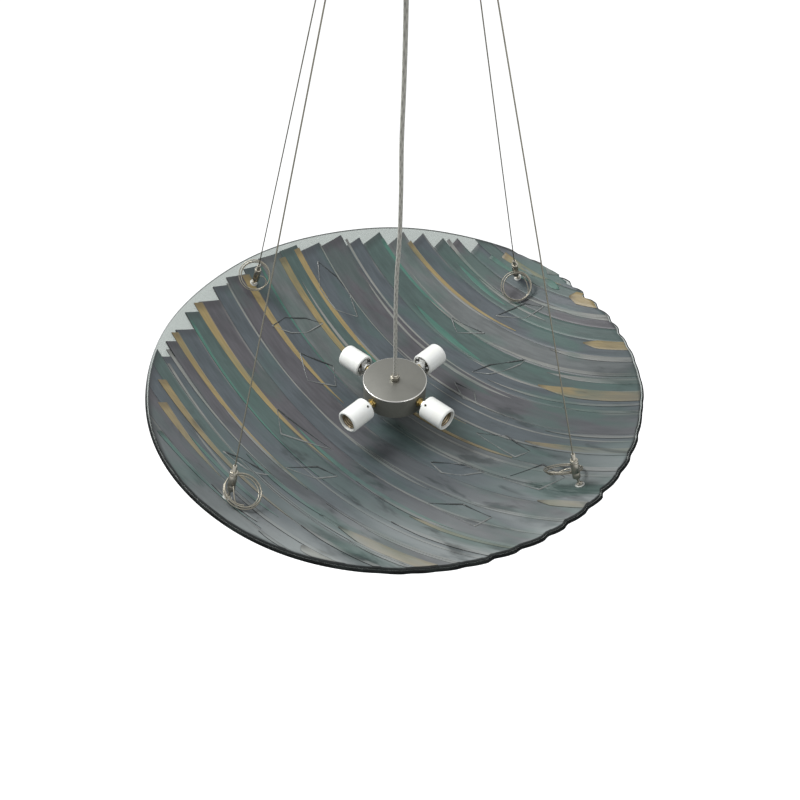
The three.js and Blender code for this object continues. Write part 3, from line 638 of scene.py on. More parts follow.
def cut_with(piece, cutter):
    apply_modifier(piece, "BOOLEAN", operation="DIFFERENCE", object=cutter, solver="EXACT")
    bpy.data.objects.remove(cutter, do_unlink=True)


def place(piece, matrix):
    """Put a finished piece's mesh in its place and leave its object at the origin."""
    select_only(piece)
    piece.matrix_world = matrix
    settle()
    return piece


def join(name, pieces):
    start_piece()
    for piece in pieces:
        piece.select_set(True)
    bpy.context.view_layer.objects.active = pieces[0]
    if len(pieces) > 1:
        bpy.ops.object.join()
    return take(name)


def copied(piece, name):
    twin = piece.copy()
    twin.data = piece.data.copy()
    bpy.context.collection.objects.link(named(twin, name))
    return twin


def dress(piece, material, slot, body, *nodes):
    """Give a piece its finish and its body, and hide the solids that it stands for."""
    piece.data.materials.clear()
    piece.data.materials.append(material)
    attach(piece, body)
    if nodes:
        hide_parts(*nodes)


def dress_node(node, material):
    """Give a CAD solid that stays visible a better finish."""
    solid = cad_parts[node]
    for slot in solid.material_slots:
        slot.material = material


def copies_round(piece, base_name, placing, material, slot, body, *nodes):
    """Place one copy of a piece at each corner and remove the pattern piece."""
    for i, corner in enumerate(CORNERS):
        twin = place(copied(piece, f"{base_name}_{corner}"), placing(i))
        dress(twin, material, slot, body.format(corner), *[node.format(corner) for node in nodes])
    bpy.data.objects.remove(piece, do_unlink=True)


def tube_curve(name, points, radius, sides):
    """A round tube along a row of points, as one open spline."""
    curve = bpy.data.curves.new(name, "CURVE")
    curve.dimensions = "3D"
    curve.bevel_depth = radius
    curve.bevel_resolution = sides
    curve.use_fill_caps = True
    spline = curve.splines.new("POLY")
    spline.points.add(len(points) - 1)
    for point, where in zip(spline.points, points):
        point.co = (*where, 1)
    spline.use_smooth = True
    piece = bpy.data.objects.new(name, curve)
    bpy.context.collection.objects.link(piece)
    return piece


# Camera, lights and floor

# The camera fitted to the photograph: degrees, metres, and millimetres for the lens
CAMERA_PITCH = 43.786
CAMERA_ROLL = 1.567
CAMERA_DISTANCE = 1.226475
CAMERA_LENS = 33.826
CAMERA_SHIFT = (0.0064, -0.0262)


def add_camera():
    pitch, roll = math.radians(CAMERA_PITCH), math.radians(CAMERA_ROLL)
    back = Vector((0, -math.cos(pitch), math.sin(pitch)))
    right = Vector((1, 0, 0))
    up = back.cross(right)
    tipped_right = math.cos(roll) * right + math.sin(roll) * up
    tipped_up = -math.sin(roll) * right + math.cos(roll) * up
    start_piece()
    bpy.ops.object.camera_add()
    camera = bpy.context.object
    camera.name = "camera"
    spot = back * CAMERA_DISTANCE + Vector((0, 0, HUB_TOP))
    columns = (tipped_right, tipped_up, back, spot)
    camera.matrix_world = Matrix([[column[r] for column in columns] for r in range(3)] + [[0, 0, 0, 1]])
    camera.data.sensor_width = 36
    camera.data.lens = CAMERA_LENS
    camera.data.shift_x, camera.data.shift_y = CAMERA_SHIFT
    camera.data.clip_end = 50
    bpy.context.scene.camera = camera


def add_world(strength):
    """A room that is seen as plain white and lights the lamp evenly from all round."""
    world = bpy.data.worlds.new("White room")
    bpy.context.scene.world = world
    world.use_nodes = True
    tree = world.node_tree
    tree.nodes.clear()
    plain = add_node(tree, "ShaderNodeBackground", {"Color": (1, 1, 1, 1), "Strength": 1.0})
    inputs = {"Color": (0.97, 0.985, 1, 1), "Strength": strength}
    lighting = add_node(tree, "ShaderNodeBackground", inputs)
    inputs = {0: seen_directly(tree), 1: lighting.outputs[0], 2: plain.outputs[0]}
    mixed = add_node(tree, "ShaderNodeMixShader", inputs)
    add_node(tree, "ShaderNodeOutputWorld", {"Surface": mixed.outputs[0]})


def add_light(name, spot, size, power):
    """A round soft light that faces the hub."""
    start_piece()
    bpy.ops.object.light_add(type="AREA", location=spot)
    light = bpy.context.object
    light.name = name
    light.data.shape = "DISK"
    light.data.size = size
    light.data.energy = power
    aim = Vector((0, 0, HUB_TOP)) - Vector(spot)
    light.rotation_euler = aim.to_track_quat("-Z", "Y").to_euler()


def add_floor(drop):
    """A pale floor that glows a little where it is seen, to fade into the white room."""
    start_piece()
    bpy.ops.mesh.primitive_plane_add(size=24, location=(0, 0, RIM_Z - BOWL_DEPTH - drop))
    floor = take("floor")
    material, tree, shader = new_material("Pale floor", {"Roughness": 0.9, "Specular IOR Level": 0.1})
    grain = noise(tree, coordinates(tree)["Object"], 3, 3)
    shade = blended(tree, grain, (0.86, 0.86, 0.86), (0.88, 0.88, 0.88))
    tree.links.new(shade, shader.inputs["Base Color"])
    glow = add_node(tree, "ShaderNodeEmission", {"Color": (1, 1, 1, 1), "Strength": 0.6})
    lit = add_node(tree, "ShaderNodeAddShader", {0: shader.outputs[0], 1: glow.outputs[0]})
    inputs = {0: seen_directly(tree), 1: shader.outputs[0], 2: lit.outputs[0]}
    mixed = add_node(tree, "ShaderNodeMixShader", inputs)
    surface = next(n for n in tree.nodes if n.type == "OUTPUT_MATERIAL").inputs["Surface"]
    tree.links.new(mixed.outputs[0], surface)
    floor.data.materials.append(material)


def build_stage(settings):
    """Camera at the photograph's angle, white surroundings, soft lights and a pale floor."""
    bpy.context.scene.view_settings.view_transform = "Standard"
    add_camera()
    add_world(settings.world_strength)
    add_light("key_light", (-0.82, 0.38, 0.38), 0.70, settings.key_power)
    add_light("fill_light", (1.3, -1.2, 0.35), 1.1, settings.fill_power)
    add_floor(settings.floor_drop)


# Cord, cables and coils

CANOPY_GRIP_MOUTH = CANOPY_BOTTOM - 11.3 * MM
HUB_GRIP_MOUTH = HUB_TOP + 11.3 * MM
CORD_ROUTE = (
    (0, 0, CANOPY_GRIP_MOUTH / MM + 6),
    (0, 0, CANOPY_GRIP_MOUTH / MM),
    (0.3, 0, CANOPY_GRIP_MOUTH / MM - 20),
    (1.2, 0, -110),
    (1.2, 0.5, -190),
    (0.4, 0.8, -260),
    (1.4, 0.6, -330),
    (1.2, 0, -400),
    (-1.2, -0.4, -460),
    (-1.6, -0.5, -520),
    (-0.9, -0.3, -580),
    (-0.2, 0, -625),
    (0, 0, HUB_GRIP_MOUTH / MM + 6),
    (0, 0, HUB_GRIP_MOUTH / MM),
    (0, 0, HUB_GRIP_MOUTH / MM - 6),
)


def smooth_route(points, per_span):
    """Points on a centripetal Catmull-Rom curve through the given ones."""
    ends = [2 * points[0] - points[1], *points, 2 * points[-1] - points[-2]]
    route = []
    for p0, p1, p2, p3 in zip(ends, ends[1:], ends[2:], ends[3:]):
        t1 = (p1 - p0).length ** 0.5
        t2 = t1 + (p2 - p1).length ** 0.5
        t3 = t2 + (p3 - p2).length ** 0.5
        for step in range(per_span):
            t = t1 + (t2 - t1) * step / per_span
            a1 = p0.lerp(p1, t / t1)
            a2 = p1.lerp(p2, (t - t1) / (t2 - t1))
            a3 = p2.lerp(p3, (t - t2) / (t3 - t2))
            b1 = a1.lerp(a2, t / t2)
            b2 = a2.lerp(a3, (t - t1) / (t3 - t1))
            route.append(b1.lerp(b2, (t - t1) / (t2 - t1)))
    return route + [points[-1]]


COIL_RADIUS = 24.0
COIL_LOOPS = 3
COIL_PITCH = 2.2
COIL_STEPS = 24
# For each coil, in millimetres and degrees: its middle, the azimuth and elevation that it faces, the
# way out of the barrel, where the lead joins, the sense of winding and the lead's straight ends
COIL_PLACES = {
    "fr": ((-24.5, 11.8, -18.4), (144.7, 50.9), 174, 349, -1, (9.7, 9.5)),
    "br": ((-19.4, -17.3, -10.5), (-150.3, 36), 276, 27, -1, (10.5, 10.3)),
    "bl": ((-1.7, 2.4, 9.3), (143.7, 35.7), 235, 73, -1, (10, 17.4)),
    "fl": ((-8.9, 12, -4.6), (122.6, 62.5), 65, 202, 1, (7, 15.3)),
}


def coil_route(corner):
    """Surplus cable from a gripper's side into its loops, in metres from the ball joint."""
    middle, faces, way_out, joins, sense, hooks = COIL_PLACES[corner]
    azimuth, elevation = (math.radians(angle) for angle in faces)
    normal = Vector((
        math.cos(elevation) * math.cos(azimuth),
        math.cos(elevation) * math.sin(azimuth),
        math.sin(elevation),
    ))
    level = Vector((-math.sin(azimuth), math.cos(azimuth), 0))
    upright = normal.cross(level) * sense

    def at(share):
        angle = math.radians(joins) + 2 * math.pi * COIL_LOOPS * share
        out = COIL_RADIUS + COIL_PITCH * COIL_LOOPS * min(share, 1 - share)
        out += 1.5 * math.sin(0.7 * angle + 1) * min(1, 6 * share)
        x = min(max((share - (0.5 - 0.25 / COIL_LOOPS)) / (0.5 / COIL_LOOPS), 0), 1)
        climb = x * x * (3 - 2 * x)
        entering = max(1 - share * COIL_LOOPS / 0.25, 0)
        return (Vector(middle) + out * math.cos(angle) * level + out * math.sin(angle) * upright
                + COIL_PITCH * (climb - entering**2) * normal)

    tilt = Matrix.Rotation(-CABLE_TILT, 4, "Y")
    way = Vector((math.cos(math.radians(way_out)), math.sin(math.radians(way_out)), 0))
    start = tilt @ Vector((2 * way.x, 2 * way.y, 8.3))
    outside = tilt @ Vector((6.8 * way.x, 6.8 * way.y, 8.3))
    exit_way = tilt @ way
    turns = COIL_STEPS * COIL_LOOPS
    entry = at(0)
    entry_way = (at(1 / (4 * turns)) - entry).normalized()
    handles = (outside, outside + hooks[0] * exit_way, entry - hooks[1] * entry_way, entry)
    route = [start]
    for step in range(16):
        t = step / 16
        weights = ((1 - t) ** 3, 3 * t * (1 - t) ** 2, 3 * t * t * (1 - t), t**3)
        route.append(sum((w * h for w, h in zip(weights, handles)), Vector((0, 0, 0))))
    route += [at(i / (2 * turns)) for i in range(2 * turns + 1)]
    return [point * MM for point in route]


def build_cords(metals, cords):
    """The braided cord, the four cables with their swaged balls, and the four coils."""
    route = smooth_route([Vector(point) * MM for point in CORD_ROUTE], 5)
    cord = tube_curve("braided_cord", route, CORD_RADIUS, 6)
    dress(cord, braid_material("Silver braid", cords.braid), "grey_braid", "power_cord", "power_cord")

    steel = stranded("Steel cable", metals.cable, 260)
    loose = stranded("Steel coil", metals.coil, 260)
    for i, corner in enumerate(CORNERS):
        matrix = cable_place(i)
        length = CABLE_SPAN - 15 * MM
        points = [matrix @ Vector((0, 0, -length * step / 20)) for step in range(21)]
        cable = tube_curve(f"suspension_cable_{corner}", points, CABLE_RADIUS, 3)
        dress(cable, steel, "steel_cable", f"cable_{corner}", f"cable_{corner}")
        ball = turned("pattern", [(0, -5.5), (1.3, -5.5), (1.3, -2.0), *arc(0, 0, 2.4, -58, 90, 8)], 24)
        smooth(ball, 50)
        ball = place(named(ball, f"cable_ball_{corner}"), matrix)
        dress(ball, bright_nickel(metals), "nickel", f"cable_{corner}")

        matrix = leant(i, PIVOT_RADIUS, PIVOT_Z, 0)
        points = [matrix @ point for point in coil_route(corner)]
        coil = tube_curve(f"surplus_coil_{corner}", points, CABLE_RADIUS, 3)
        dress(coil, loose, "steel_cable", f"gripper_{corner}", f"cable_coil_{corner}")


# Canopy


def grip_pieces(name):
    """A hexagon nut under a slotted jaw, standing on zero and opening upwards."""
    jaw = turned("jaw", [
        (3.5, 5.5), (5.9, 5.5), (5.9, 9.0), (5.5, 9.6), (4.4, 11), (3.5, 11), (3.5, 5.5),
    ], 40)
    for angle in (0, 60, 120):
        slit = block("slit", (14, 0.7, 3.2), (0, 0, 10.4))
        slit.rotation_euler = (0, 0, math.radians(angle))
        select_only(slit)
        settle()
        cut_with(jaw, slit)
    soften(jaw, 0.15 * MM, 2, 30)
    nut = hexagon(3.7, 8, 0, 7, 0.6 * MM)
    nipple = turned("nipple", tube(3.5, 4.8, -12, 0.5), 32)
    grip = join(name, [nut, jaw, nipple])
    smooth(grip, 30)
    return grip


def build_canopy(metals):
    """Spun pan with holes for the cables, its plate and stem, and the cord grip."""
    edge = 6
    pan = turned("canopy_cover", [
        (5.1, -30), *arc(134, -24, edge, -90, 0, 8), (140, -1.2), (139.6, 0), (138.2, 0),
        *arc(134, -24, edge - 2, 0, -90, 8), (5.1, -28), (5.1, -30),
    ], 160)
    for i in range(4):
        bit = turned("bit", [(0, -14), (1.8, -14), (1.8, 14), (0, 14)], 24)
        cut_with(pan, place(bit, cable_place(i)))
    smooth(pan, 30)
    dress(pan, satin_nickel(metals), "satin_nickel", "canopy", "canopy_pan")

    plate = turned("ceiling_bracket", [
        (0, -3), (4.9, -3), (4.9, -27.7), (6.5, -27.7), (6.5, -3), (61, -3), (62, -2.4), (62, 0),
        (0, 0),
    ], 96)
    for side in (-1, 1):
        cut_with(plate, block("slot", (12, 5.2, 12), (side * 44.5, 0, 0)))
    cut_with(plate, block("window", (19.5, 5, 9), (0, 0, -12)))
    smooth(plate, 30)
    zinc = metal("Zinc plated steel", (0.46, 0.46, 0.43), 0.38, 40)
    dress(plate, zinc, "satin_nickel", "canopy", "ceiling_plate")

    grip = place(grip_pieces("canopy_grip"), move(0, 0, -30.3 * MM) @ turn("X", 180))
    dress(grip, bright_nickel(metals), "nickel", "canopy", "canopy_cord_grip")


# Glass bowl

# The toothed part of the rim, by falling azimuth in degrees; the teeth change their side at TOOTH_TURN
TOOTHED_FROM = 52.0
TOOTHED_TO = -92.0
TOOTH_COUNT = 25
TOOTH_TURN = -8.0
TOOTH_DEPTH = 9 * MM
TOOTH_STEP = 0.35
# The strips lie on arcs about this point in plan, in metres
ARC_CENTRE = Vector((1.500, 1.550))
# Azimuths between which strips end short of the rim and leave the clear base glass bare
CLEAR_EDGE = (66.0, 178.0)


def azimuth_at(spot):
    return math.degrees(math.atan2(spot.y, spot.x))


def scatter(number):
    """A fixed value from 0 to 1 for a whole number."""
    wave = math.sin(number * 12.9898) * 43758.5453
    return wave - math.floor(wave)


def tooth_edges():
    widths = [0.75 + 0.5 * scatter(i + 1) for i in range(TOOTH_COUNT)]
    edges = [TOOTHED_FROM]
    for width in widths:
        edges.append(edges[-1] + width / sum(widths) * (TOOTHED_TO - TOOTHED_FROM))
    return edges


def rim_corners():
    """(azimuth, radius) round the toothed part, by falling azimuth."""
    edges = tooth_edges()
    corners = []
    for i in range(TOOTH_COUNT):
        middle = (edges[i] + edges[i + 1]) / 2
        slope = min(max((middle - TOOTH_TURN) / 30, -1), 1)
        fade = min(max((middle - TOOTHED_TO) / 30, 0.3), 1)
        depth = TOOTH_DEPTH * fade * (0.5 + 0.5 * scatter(i + 51))
        base = BOWL_RADIUS + 2 * MM * (scatter(i + 31) - 0.5)
        corners.append((edges[i] - TOOTH_STEP, base - depth * max(slope, 0.1)))
        corners.append((middle, base - depth * abs(slope) / 4))
        corners.append((edges[i + 1] + TOOTH_STEP, base - depth * max(-slope, 0.1)))
    return corners


RIM = [(TOOTHED_FROM + 4, BOWL_RADIUS), *rim_corners(), (TOOTHED_TO - 4, BOWL_RADIUS)]


def rim_at(azimuth):
    azimuth = (azimuth + 180) % 360 - 180
    if azimuth >= RIM[0][0] or azimuth <= RIM[-1][0]:
        return BOWL_RADIUS + 0.5 * MM * math.sin(math.radians(9 * azimuth))
    for (a0, r0), (a1, r1) in zip(RIM, RIM[1:]):
        if a1 <= azimuth <= a0:
            return r0 + (r1 - r0) * (a0 - azimuth) / (a0 - a1)
    return BOWL_RADIUS


def rim_radius(azimuth):
    """Rim radius with the teeth's corners melted round."""
    return sum(rim_at(azimuth + d) for d in (-0.7, -0.35, 0, 0.35, 0.7)) / 5


def bowl_top(radius, lift=0.0):
    """Height of the glass's upper face, or of a level that far over it."""
    size = BOWL_CURVE - lift
    return BOWL_CENTRE - math.sqrt(size**2 - min(radius, size * 0.99) ** 2)


def arc_angle(rho, radius, end):
    """Angle about the strips' centre where their arc of radius rho meets a circle round the bowl."""
    reach = ARC_CENTRE.length
    middle = math.atan2(-ARC_CENTRE.y, -ARC_CENTRE.x)
    cosine = (rho**2 + reach**2 - radius**2) / (2 * rho * reach)
    return middle + end * math.acos(min(cosine, 1))


def on_arc(rho, angle):
    return Vector((ARC_CENTRE.x + rho * math.cos(angle), ARC_CENTRE.y + rho * math.sin(angle)))


def rim_crossing(rho, end, inset):
    """The same where the arc meets the toothed rim, that far inside it."""
    angle = arc_angle(rho, BOWL_RADIUS - inset, end)
    for _ in range(6):
        angle = arc_angle(rho, rim_radius(azimuth_at(on_arc(rho, angle))) - inset, end)
    return angle


def strip_bounds():
    """Distances from the strips' centre at which one strip ends and the next begins."""
    bounds = [ARC_CENTRE.length - BOWL_RADIUS + 1 * MM]
    for azimuth in tooth_edges():
        if azimuth > 38:
            continue
        spot = Vector((math.cos(math.radians(azimuth)), math.sin(math.radians(azimuth)))) * BOWL_RADIUS
        distance = (spot - ARC_CENTRE).length
        if distance - bounds[-1] > 9 * MM:
            bounds.append(distance)
    last = ARC_CENTRE.length + BOWL_RADIUS - 1 * MM
    while last - bounds[-1] > 34 * MM:
        bounds.append(bounds[-1] + 27 * MM)
    bounds.append(last)
    return bounds


def ribbon(name, rows, lift, thickness):
    """A slumped slab from rows of plan points, with u along it in metres and v across it."""
    across = len(rows[0])
    start_piece()
    bpy.ops.mesh.primitive_grid_add(x_subdivisions=across - 1, y_subdivisions=len(rows) - 1, size=1,
                                    calc_uvs=True)
    piece = take(name)
    mesh = piece.data
    corners = [(round(vertex.co.y, 5), round(vertex.co.x, 5)) for vertex in mesh.vertices]
    order = sorted(range(len(corners)), key=corners.__getitem__)
    where = {}
    run = 0.0
    middle = across // 2
    for i, row in enumerate(rows):
        if i:
            run += (row[middle] - rows[i - 1][middle]).length
        for j, spot in enumerate(row):
            vertex = order[i * across + j]
            mesh.vertices[vertex].co = (spot.x, spot.y, bowl_top(spot.length, lift))
            where[vertex] = (run, j / (across - 1))
    layer = mesh.uv_layers.active
    for loop in mesh.loops:
        layer.data[loop.index].uv = where[loop.vertex_index]
    bpy.ops.object.mode_set(mode="EDIT")
    face_outwards()
    if mesh.polygons[0].normal.z < 0:
        mesh.flip_normals()
    apply_modifier(piece, "SOLIDIFY", thickness=thickness, offset=-1.0)
    return piece


# Glass of each strip in turn, by the letters of GLASSES
STRIP_GLASS = "sdsudsmdsusdmsusudsusdsumsds"


def main_strips(settings):
    """Rows of plan points for every full strip, with its glass."""
    bounds = strip_bounds()
    gap = settings.strip_gap / 2
    found = []
    for k, (near, far) in enumerate(zip(bounds, bounds[1:])):
        near, far = near + gap, far - gap
        middle = (near + far) / 2
        lines = [near + (far - near) * j / 6 for j in range(7)]
        ends = [rim_crossing(rho, 1, 0.3 * MM) for rho in lines]
        start = azimuth_at(on_arc(middle, arc_angle(middle, BOWL_RADIUS, -1))) % 360
        if CLEAR_EDGE[0] < start < CLEAR_EDGE[1]:
            inset = (7 + 13 * scatter(k + 101)) * MM
            square = [arc_angle(rho, BOWL_RADIUS - 6 * MM, -1) for rho in (near, far)]
            starts = [max(*square, arc_angle(middle, BOWL_RADIUS - inset, -1))] * 7
        else:
            starts = [rim_crossing(rho, -1, 0.3 * MM) for rho in lines]
        steps = max(int((ends[3] - starts[3]) * middle / (9 * MM)), 6)
        rows = []
        for i in range(steps + 1):
            share = i / steps
            rows.append([on_arc(rho, a + (b - a) * share) for rho, a, b in zip(lines, starts, ends)])
        found.append((STRIP_GLASS[k % len(STRIP_GLASS)], rows, 0.12 * MM * scatter(k + 11)))
    return found


def sliver(centre, drift, widest, taper, begin, finish):
    """Rows of plan points for a thin piece along an arc; without a finish it runs to the rim."""
    rho = centre + drift / 2
    ends = [finish or rim_crossing(rho + widest * (j / 4 - 0.5), 1, 0.6 * MM) for j in range(5)]
    steps = max(int((ends[2] - begin) * centre / (7 * MM)), 5)
    rows = []
    for i in range(steps + 1):
        share = i / steps
        width = max(widest * taper(share), 0.6 * MM)
        middle = centre + drift * (share - 0.5)
        rows.append([on_arc(middle + width * (j / 4 - 0.5), begin + (end - begin) * share)
                     for j, end in enumerate(ends)])
    return rows


def wedge(share):
    return (1 - share) ** 0.75


def lens(share):
    return math.sin(math.pi * share) ** 0.7


def chisel(share):
    return min(1, 0.15 + 2.5 * share)


def blade(share):
    return 0.25 + 0.75 * (1 - share) if share < 0.96 else 0.2


# For each layer of slivers: the glasses in turn, the share left out, and the scatter across in mm
SLIVER_LAYERS = (
    ("aaptapatapa", 0.12, 5),
    ("tpattptpa", 0.35, 22),
    ("tapttaptp", 0.30, 14),
    ("p", 0.68, 24),
    ("tpp", 0.45, 26),
)
SLIVER_WIDTHS = {"a": (7, 9), "t": (4, 8), "p": (2, 4.5)}


def sliver_strips():
    """Rows of plan points for the thin tapered pieces laid over the joints of the strips."""
    found = []
    for k, joint in enumerate(strip_bounds()[1:-1]):
        for n, (glasses, left_out, spread) in enumerate(SLIVER_LAYERS):
            seed = 11 * k + 131 * n
            if scatter(seed + 5) < left_out:
                continue
            glass = glasses[(3 * k + n) % len(glasses)]
            rho = joint + (scatter(seed + 9) - 0.5) * spread * MM
            low = arc_angle(rho, BOWL_RADIUS - (10 + 12 * scatter(seed)) * MM, -1)
            high = rim_crossing(rho, 1, 1 * MM)
            least, extra = SLIVER_WIDTHS[glass]
            widest = (least + extra * scatter(seed + 4)) * MM
            drift = (scatter(seed + 8) - 0.5) * 16 * MM
            share = scatter(seed + 1)
            if n == 0:
                begin, finish = 0, 0.35 + 0.45 * share
                taper = wedge if scatter(seed + 6) > 0.3 else blade
            elif n == 1:
                begin = 0.05 + 0.45 * share
                finish = begin + 0.22 + 0.28 * scatter(seed + 2)
                taper = lens
            elif n == 2:
                begin, finish = 1 - (0.08 + 0.22 * share), None
                taper = chisel
                widest *= 1.35
                drift = 0
            elif n == 3:
                begin = 0.1 + 0.5 * share
                finish = begin + 0.15 + 0.25 * scatter(seed + 2)
                taper = lens
                widest *= 0.8
            else:
                begin, finish = 0.35 + 0.35 * share, None
                taper = chisel
                widest *= 1.5 if glass == "t" else 1
            begin = low + (high - low) * begin
            finish = finish and low + (high - low) * finish
            lift = (0.30 + 0.16 * ((3 * k + n) % 6)) * MM
            found.append((glass, sliver(rho, drift, widest, taper, begin, finish), lift))
    return found


def base_profile(top, lip):
    """The base sheet's section: its upper face, its melted lip and its underside."""
    rings = 26
    radii = [BOWL_RADIUS * i / rings for i in range(rings + 1)]
    profile = [(radius / MM, bowl_top(radius, -top) / MM) for radius in radii]
    for i in range(1, 6):
        angle = math.radians(90 - 180 * i / 6)
        half = (GLASS_THICKNESS - top) / 2
        along = half * math.cos(angle)
        deep = BOWL_CURVE + top + half - half * math.sin(angle)
        profile.append(((deep * math.sin(lip) + along * math.cos(lip)) / MM,
                        (BOWL_CENTRE - deep * math.cos(lip) + along * math.sin(lip)) / MM))
    outer = BOWL_CURVE + GLASS_THICKNESS
    for radius in reversed(radii):
        angle = math.asin(radius / BOWL_CURVE)
        profile.append((outer * math.sin(angle) / MM, (BOWL_CENTRE - outer * math.cos(angle)) / MM))
    return profile


def build_base_glass(settings):
    """The slumped clear sheet under the strips, with its melted and toothed edge."""
    lip = math.asin(BOWL_RADIUS / BOWL_CURVE)
    base = turned("base_glass", base_profile(settings.strip_thickness - 0.2 * MM, lip), 720)
    bent_from = 345 * MM
    for vertex in base.data.vertices:
        radius = math.hypot(vertex.co.x, vertex.co.y)
        share = (radius - bent_from) / (BOWL_RADIUS - bent_from)
        if share <= 0:
            continue
        change = (rim_radius(azimuth_at(vertex.co)) - BOWL_RADIUS) * min(share, 1) ** 2
        vertex.co.z += change * math.tan(lip)
        vertex.co.x *= 1 + change / radius
        vertex.co.y *= 1 + change / radius
    smooth(base, 50)
    clear = clear_material("Clear base glass", settings.clear, 0.12, 0.9)
    dress(base, clear, "fused_glass", "bowl", "glass_bowl")
    # The lip's outward faces take the dark edge glass, with its painted shade and painted highlight
    base.data.materials.append(edge_glass())
    for face in base.data.polygons:
        outward = Vector((face.center.x, face.center.y, 0)).normalized()
        meridian = outward * math.cos(lip) + Vector((0, 0, math.sin(lip)))
        if face.normal.dot(meridian) > 0.12 and face.center.xy.length > BOWL_RADIUS * 0.95:
            face.material_index = 1


def edge_glass():
    """The look of a melted glass edge: painted shade makes it dark in front, a painted highlight pale at
    the back.
    """
    material, tree, shader = new_material("Dark glass edge", {"IOR": 1.45, "Specular IOR Level": 0.05})
    if tree is None:
        return material
    spot = coordinates(tree)["Object"]
    patches = noise(tree, spot, 30, 4, 0.6, 0.4)
    parts = split(tree, spot)
    slope = plus(tree, parts["Y"], times(tree, parts["X"], -0.5))
    dark = blended(tree, remap(tree, patches, 0.4, 0.7), (0.006, 0.007, 0.007), (0.020, 0.024, 0.023))
    # Pale at the back and dark in front by the slope of the place: painted highlight and painted shade
    shade = blended(tree, remap(tree, slope, 0.22, 0.07), (0.24, 0.25, 0.245), dark)
    coat(tree, shader, shade, remap(tree, patches, 0.3, 0.7, 0.50, 0.68))
    return material


GLASSES = {"s": "slate", "u": "umber", "d": "dusk", "m": "mist", "t": "teal", "a": "amber", "p": "pale"}


def build_bowl(settings):
    """Base glass, full strips and slivers, each glass in a piece of its own."""
    build_base_glass(settings)
    layers = (
        ("strip", main_strips(settings), settings.strip_thickness, 0.25 * MM),
        ("sliver", sliver_strips(), 1.4 * MM, 0.3 * MM),
    )
    heaps = {key: [] for key in GLASSES}
    for name, found, thickness, width in layers:
        for glass, rows, lift in found:
            piece = ribbon(name, rows, lift, thickness)
            soften(piece, width, 2, 50)
            heaps[glass].append(piece)
    for glass, pieces in heaps.items():
        tint = GLASSES[glass]
        strips = join(f"strips_{tint}", pieces)
        smooth(strips, 40)
        material = strip_material(f"{tint.title()} glass", getattr(settings, tint))
        dress(strips, material, "fused_glass", "bowl", "glass_bowl")


def edge_relief():
    """Raised edges of the clear shards: dark where they turn from the light, pale where they face it."""
    material, tree, shader = new_material("Shard edges", {"IOR": 1.45})
    if tree is None:
        return material
    spot = coordinates(tree)
    patches = noise(tree, spot["Object"], 55, 3, 0.6)
    far = blended(tree, patches, (0.010, 0.013, 0.013), (0.060, 0.070, 0.070))
    near = blended(tree, patches, (0.110, 0.125, 0.125), (0.260, 0.265, 0.255))
    shade = blended(tree, split(tree, spot["UV"])["X"], near, far)
    coat(tree, shader, shade, remap(tree, patches, 0.3, 0.7, 0.16, 0.34))
    return material


SHARD_SHAPES = (
    ((-1, 0.05), (0.15, -0.42), (1, -0.12), (0.25, 0.38)),
    ((-1, -0.12), (0.75, -0.38), (0.95, 0.1), (-0.1, 0.4)),
    ((-1, -0.1), (1, -0.28), (-0.25, 0.42)),
    ((-1, -0.3), (-0.25, -0.42), (0.35, -0.34), (1, 0.05), (0.3, 0.32), (-0.4, 0.2)),
    ((-1, 0), (-0.4, -0.22), (0.2, -0.28), (0.75, -0.14), (1, 0.05), (0.4, 0.12), (-0.3, 0.1)),
    ((-0.9, -0.5), (0.55, -0.6), (1, 0.25), (-0.1, 0.62)),
)


def shard_places(count):
    """Number, centre and half length of each shard, spread over the bowl and clear of each other."""
    found = []
    for n in range(200):
        azimuth = math.radians(360 * 0.754878 * n + 20)
        radius = BOWL_RADIUS * math.sqrt(0.12 + 0.58 * (n * 0.569840 % 1))
        centre = Vector((radius * math.cos(azimuth), radius * math.sin(azimuth)))
        length = (30 + 34 * scatter(n + 261)) * MM
        if all((centre - other).length > 0.9 * (length + reach) for _, other, reach in found):
            found.append((n, centre, length))
    return found[:count]


def shard_outline(n, centre, length):
    """Plan corners of a shard: one of a few broken shapes, leant and bent by fixed scatter."""
    lean = math.radians(-62 + 74 * scatter(n + 281))
    flip = 1 if scatter(n + 351) > 0.4 else -1
    corners = []
    for v, (x, y) in enumerate(SHARD_SHAPES[n % len(SHARD_SHAPES)]):
        x = length * (x + 0.18 * (scatter(17 * n + v + 301) - 0.5))
        y = flip * length * (y + 0.14 * (scatter(31 * n + v + 331) - 0.5))
        corners.append(Vector((centre.x + x * math.cos(lean) - y * math.sin(lean),
                               centre.y + x * math.sin(lean) + y * math.cos(lean))))
    return corners


def side_distance(spot, first, second):
    run = second - first
    share = min(max((spot - first).dot(run) / run.length_squared, 0), 1)
    return (first + run * share - spot).length


def shard_edge(sides, phase):
    """A melted bead along the sides of a shard, thicker and thinner in turn."""
    shares = [0.02 + 0.96 * step / 11 for step in range(12)]
    outline = [first.lerp(second, share) for first, second in sides for share in shares]
    start_piece()
    bpy.ops.mesh.primitive_circle_add(vertices=len(outline), radius=1)
    shard = take("shard")
    for vertex, spot in zip(shard.data.vertices, outline):
        vertex.co = (spot.x, spot.y, bowl_top(spot.length, 0.35 * MM))
    bpy.ops.object.convert(target="CURVE")
    curve = bpy.context.object.data
    curve.bevel_depth = 1.45 * MM
    curve.bevel_resolution = 3
    for spline in curve.splines:
        for i, point in enumerate(spline.points):
            point.radius = 0.66 + 0.34 * math.sin(0.31 * i + phase)
    bpy.ops.object.convert(target="MESH")
    return take("shard")


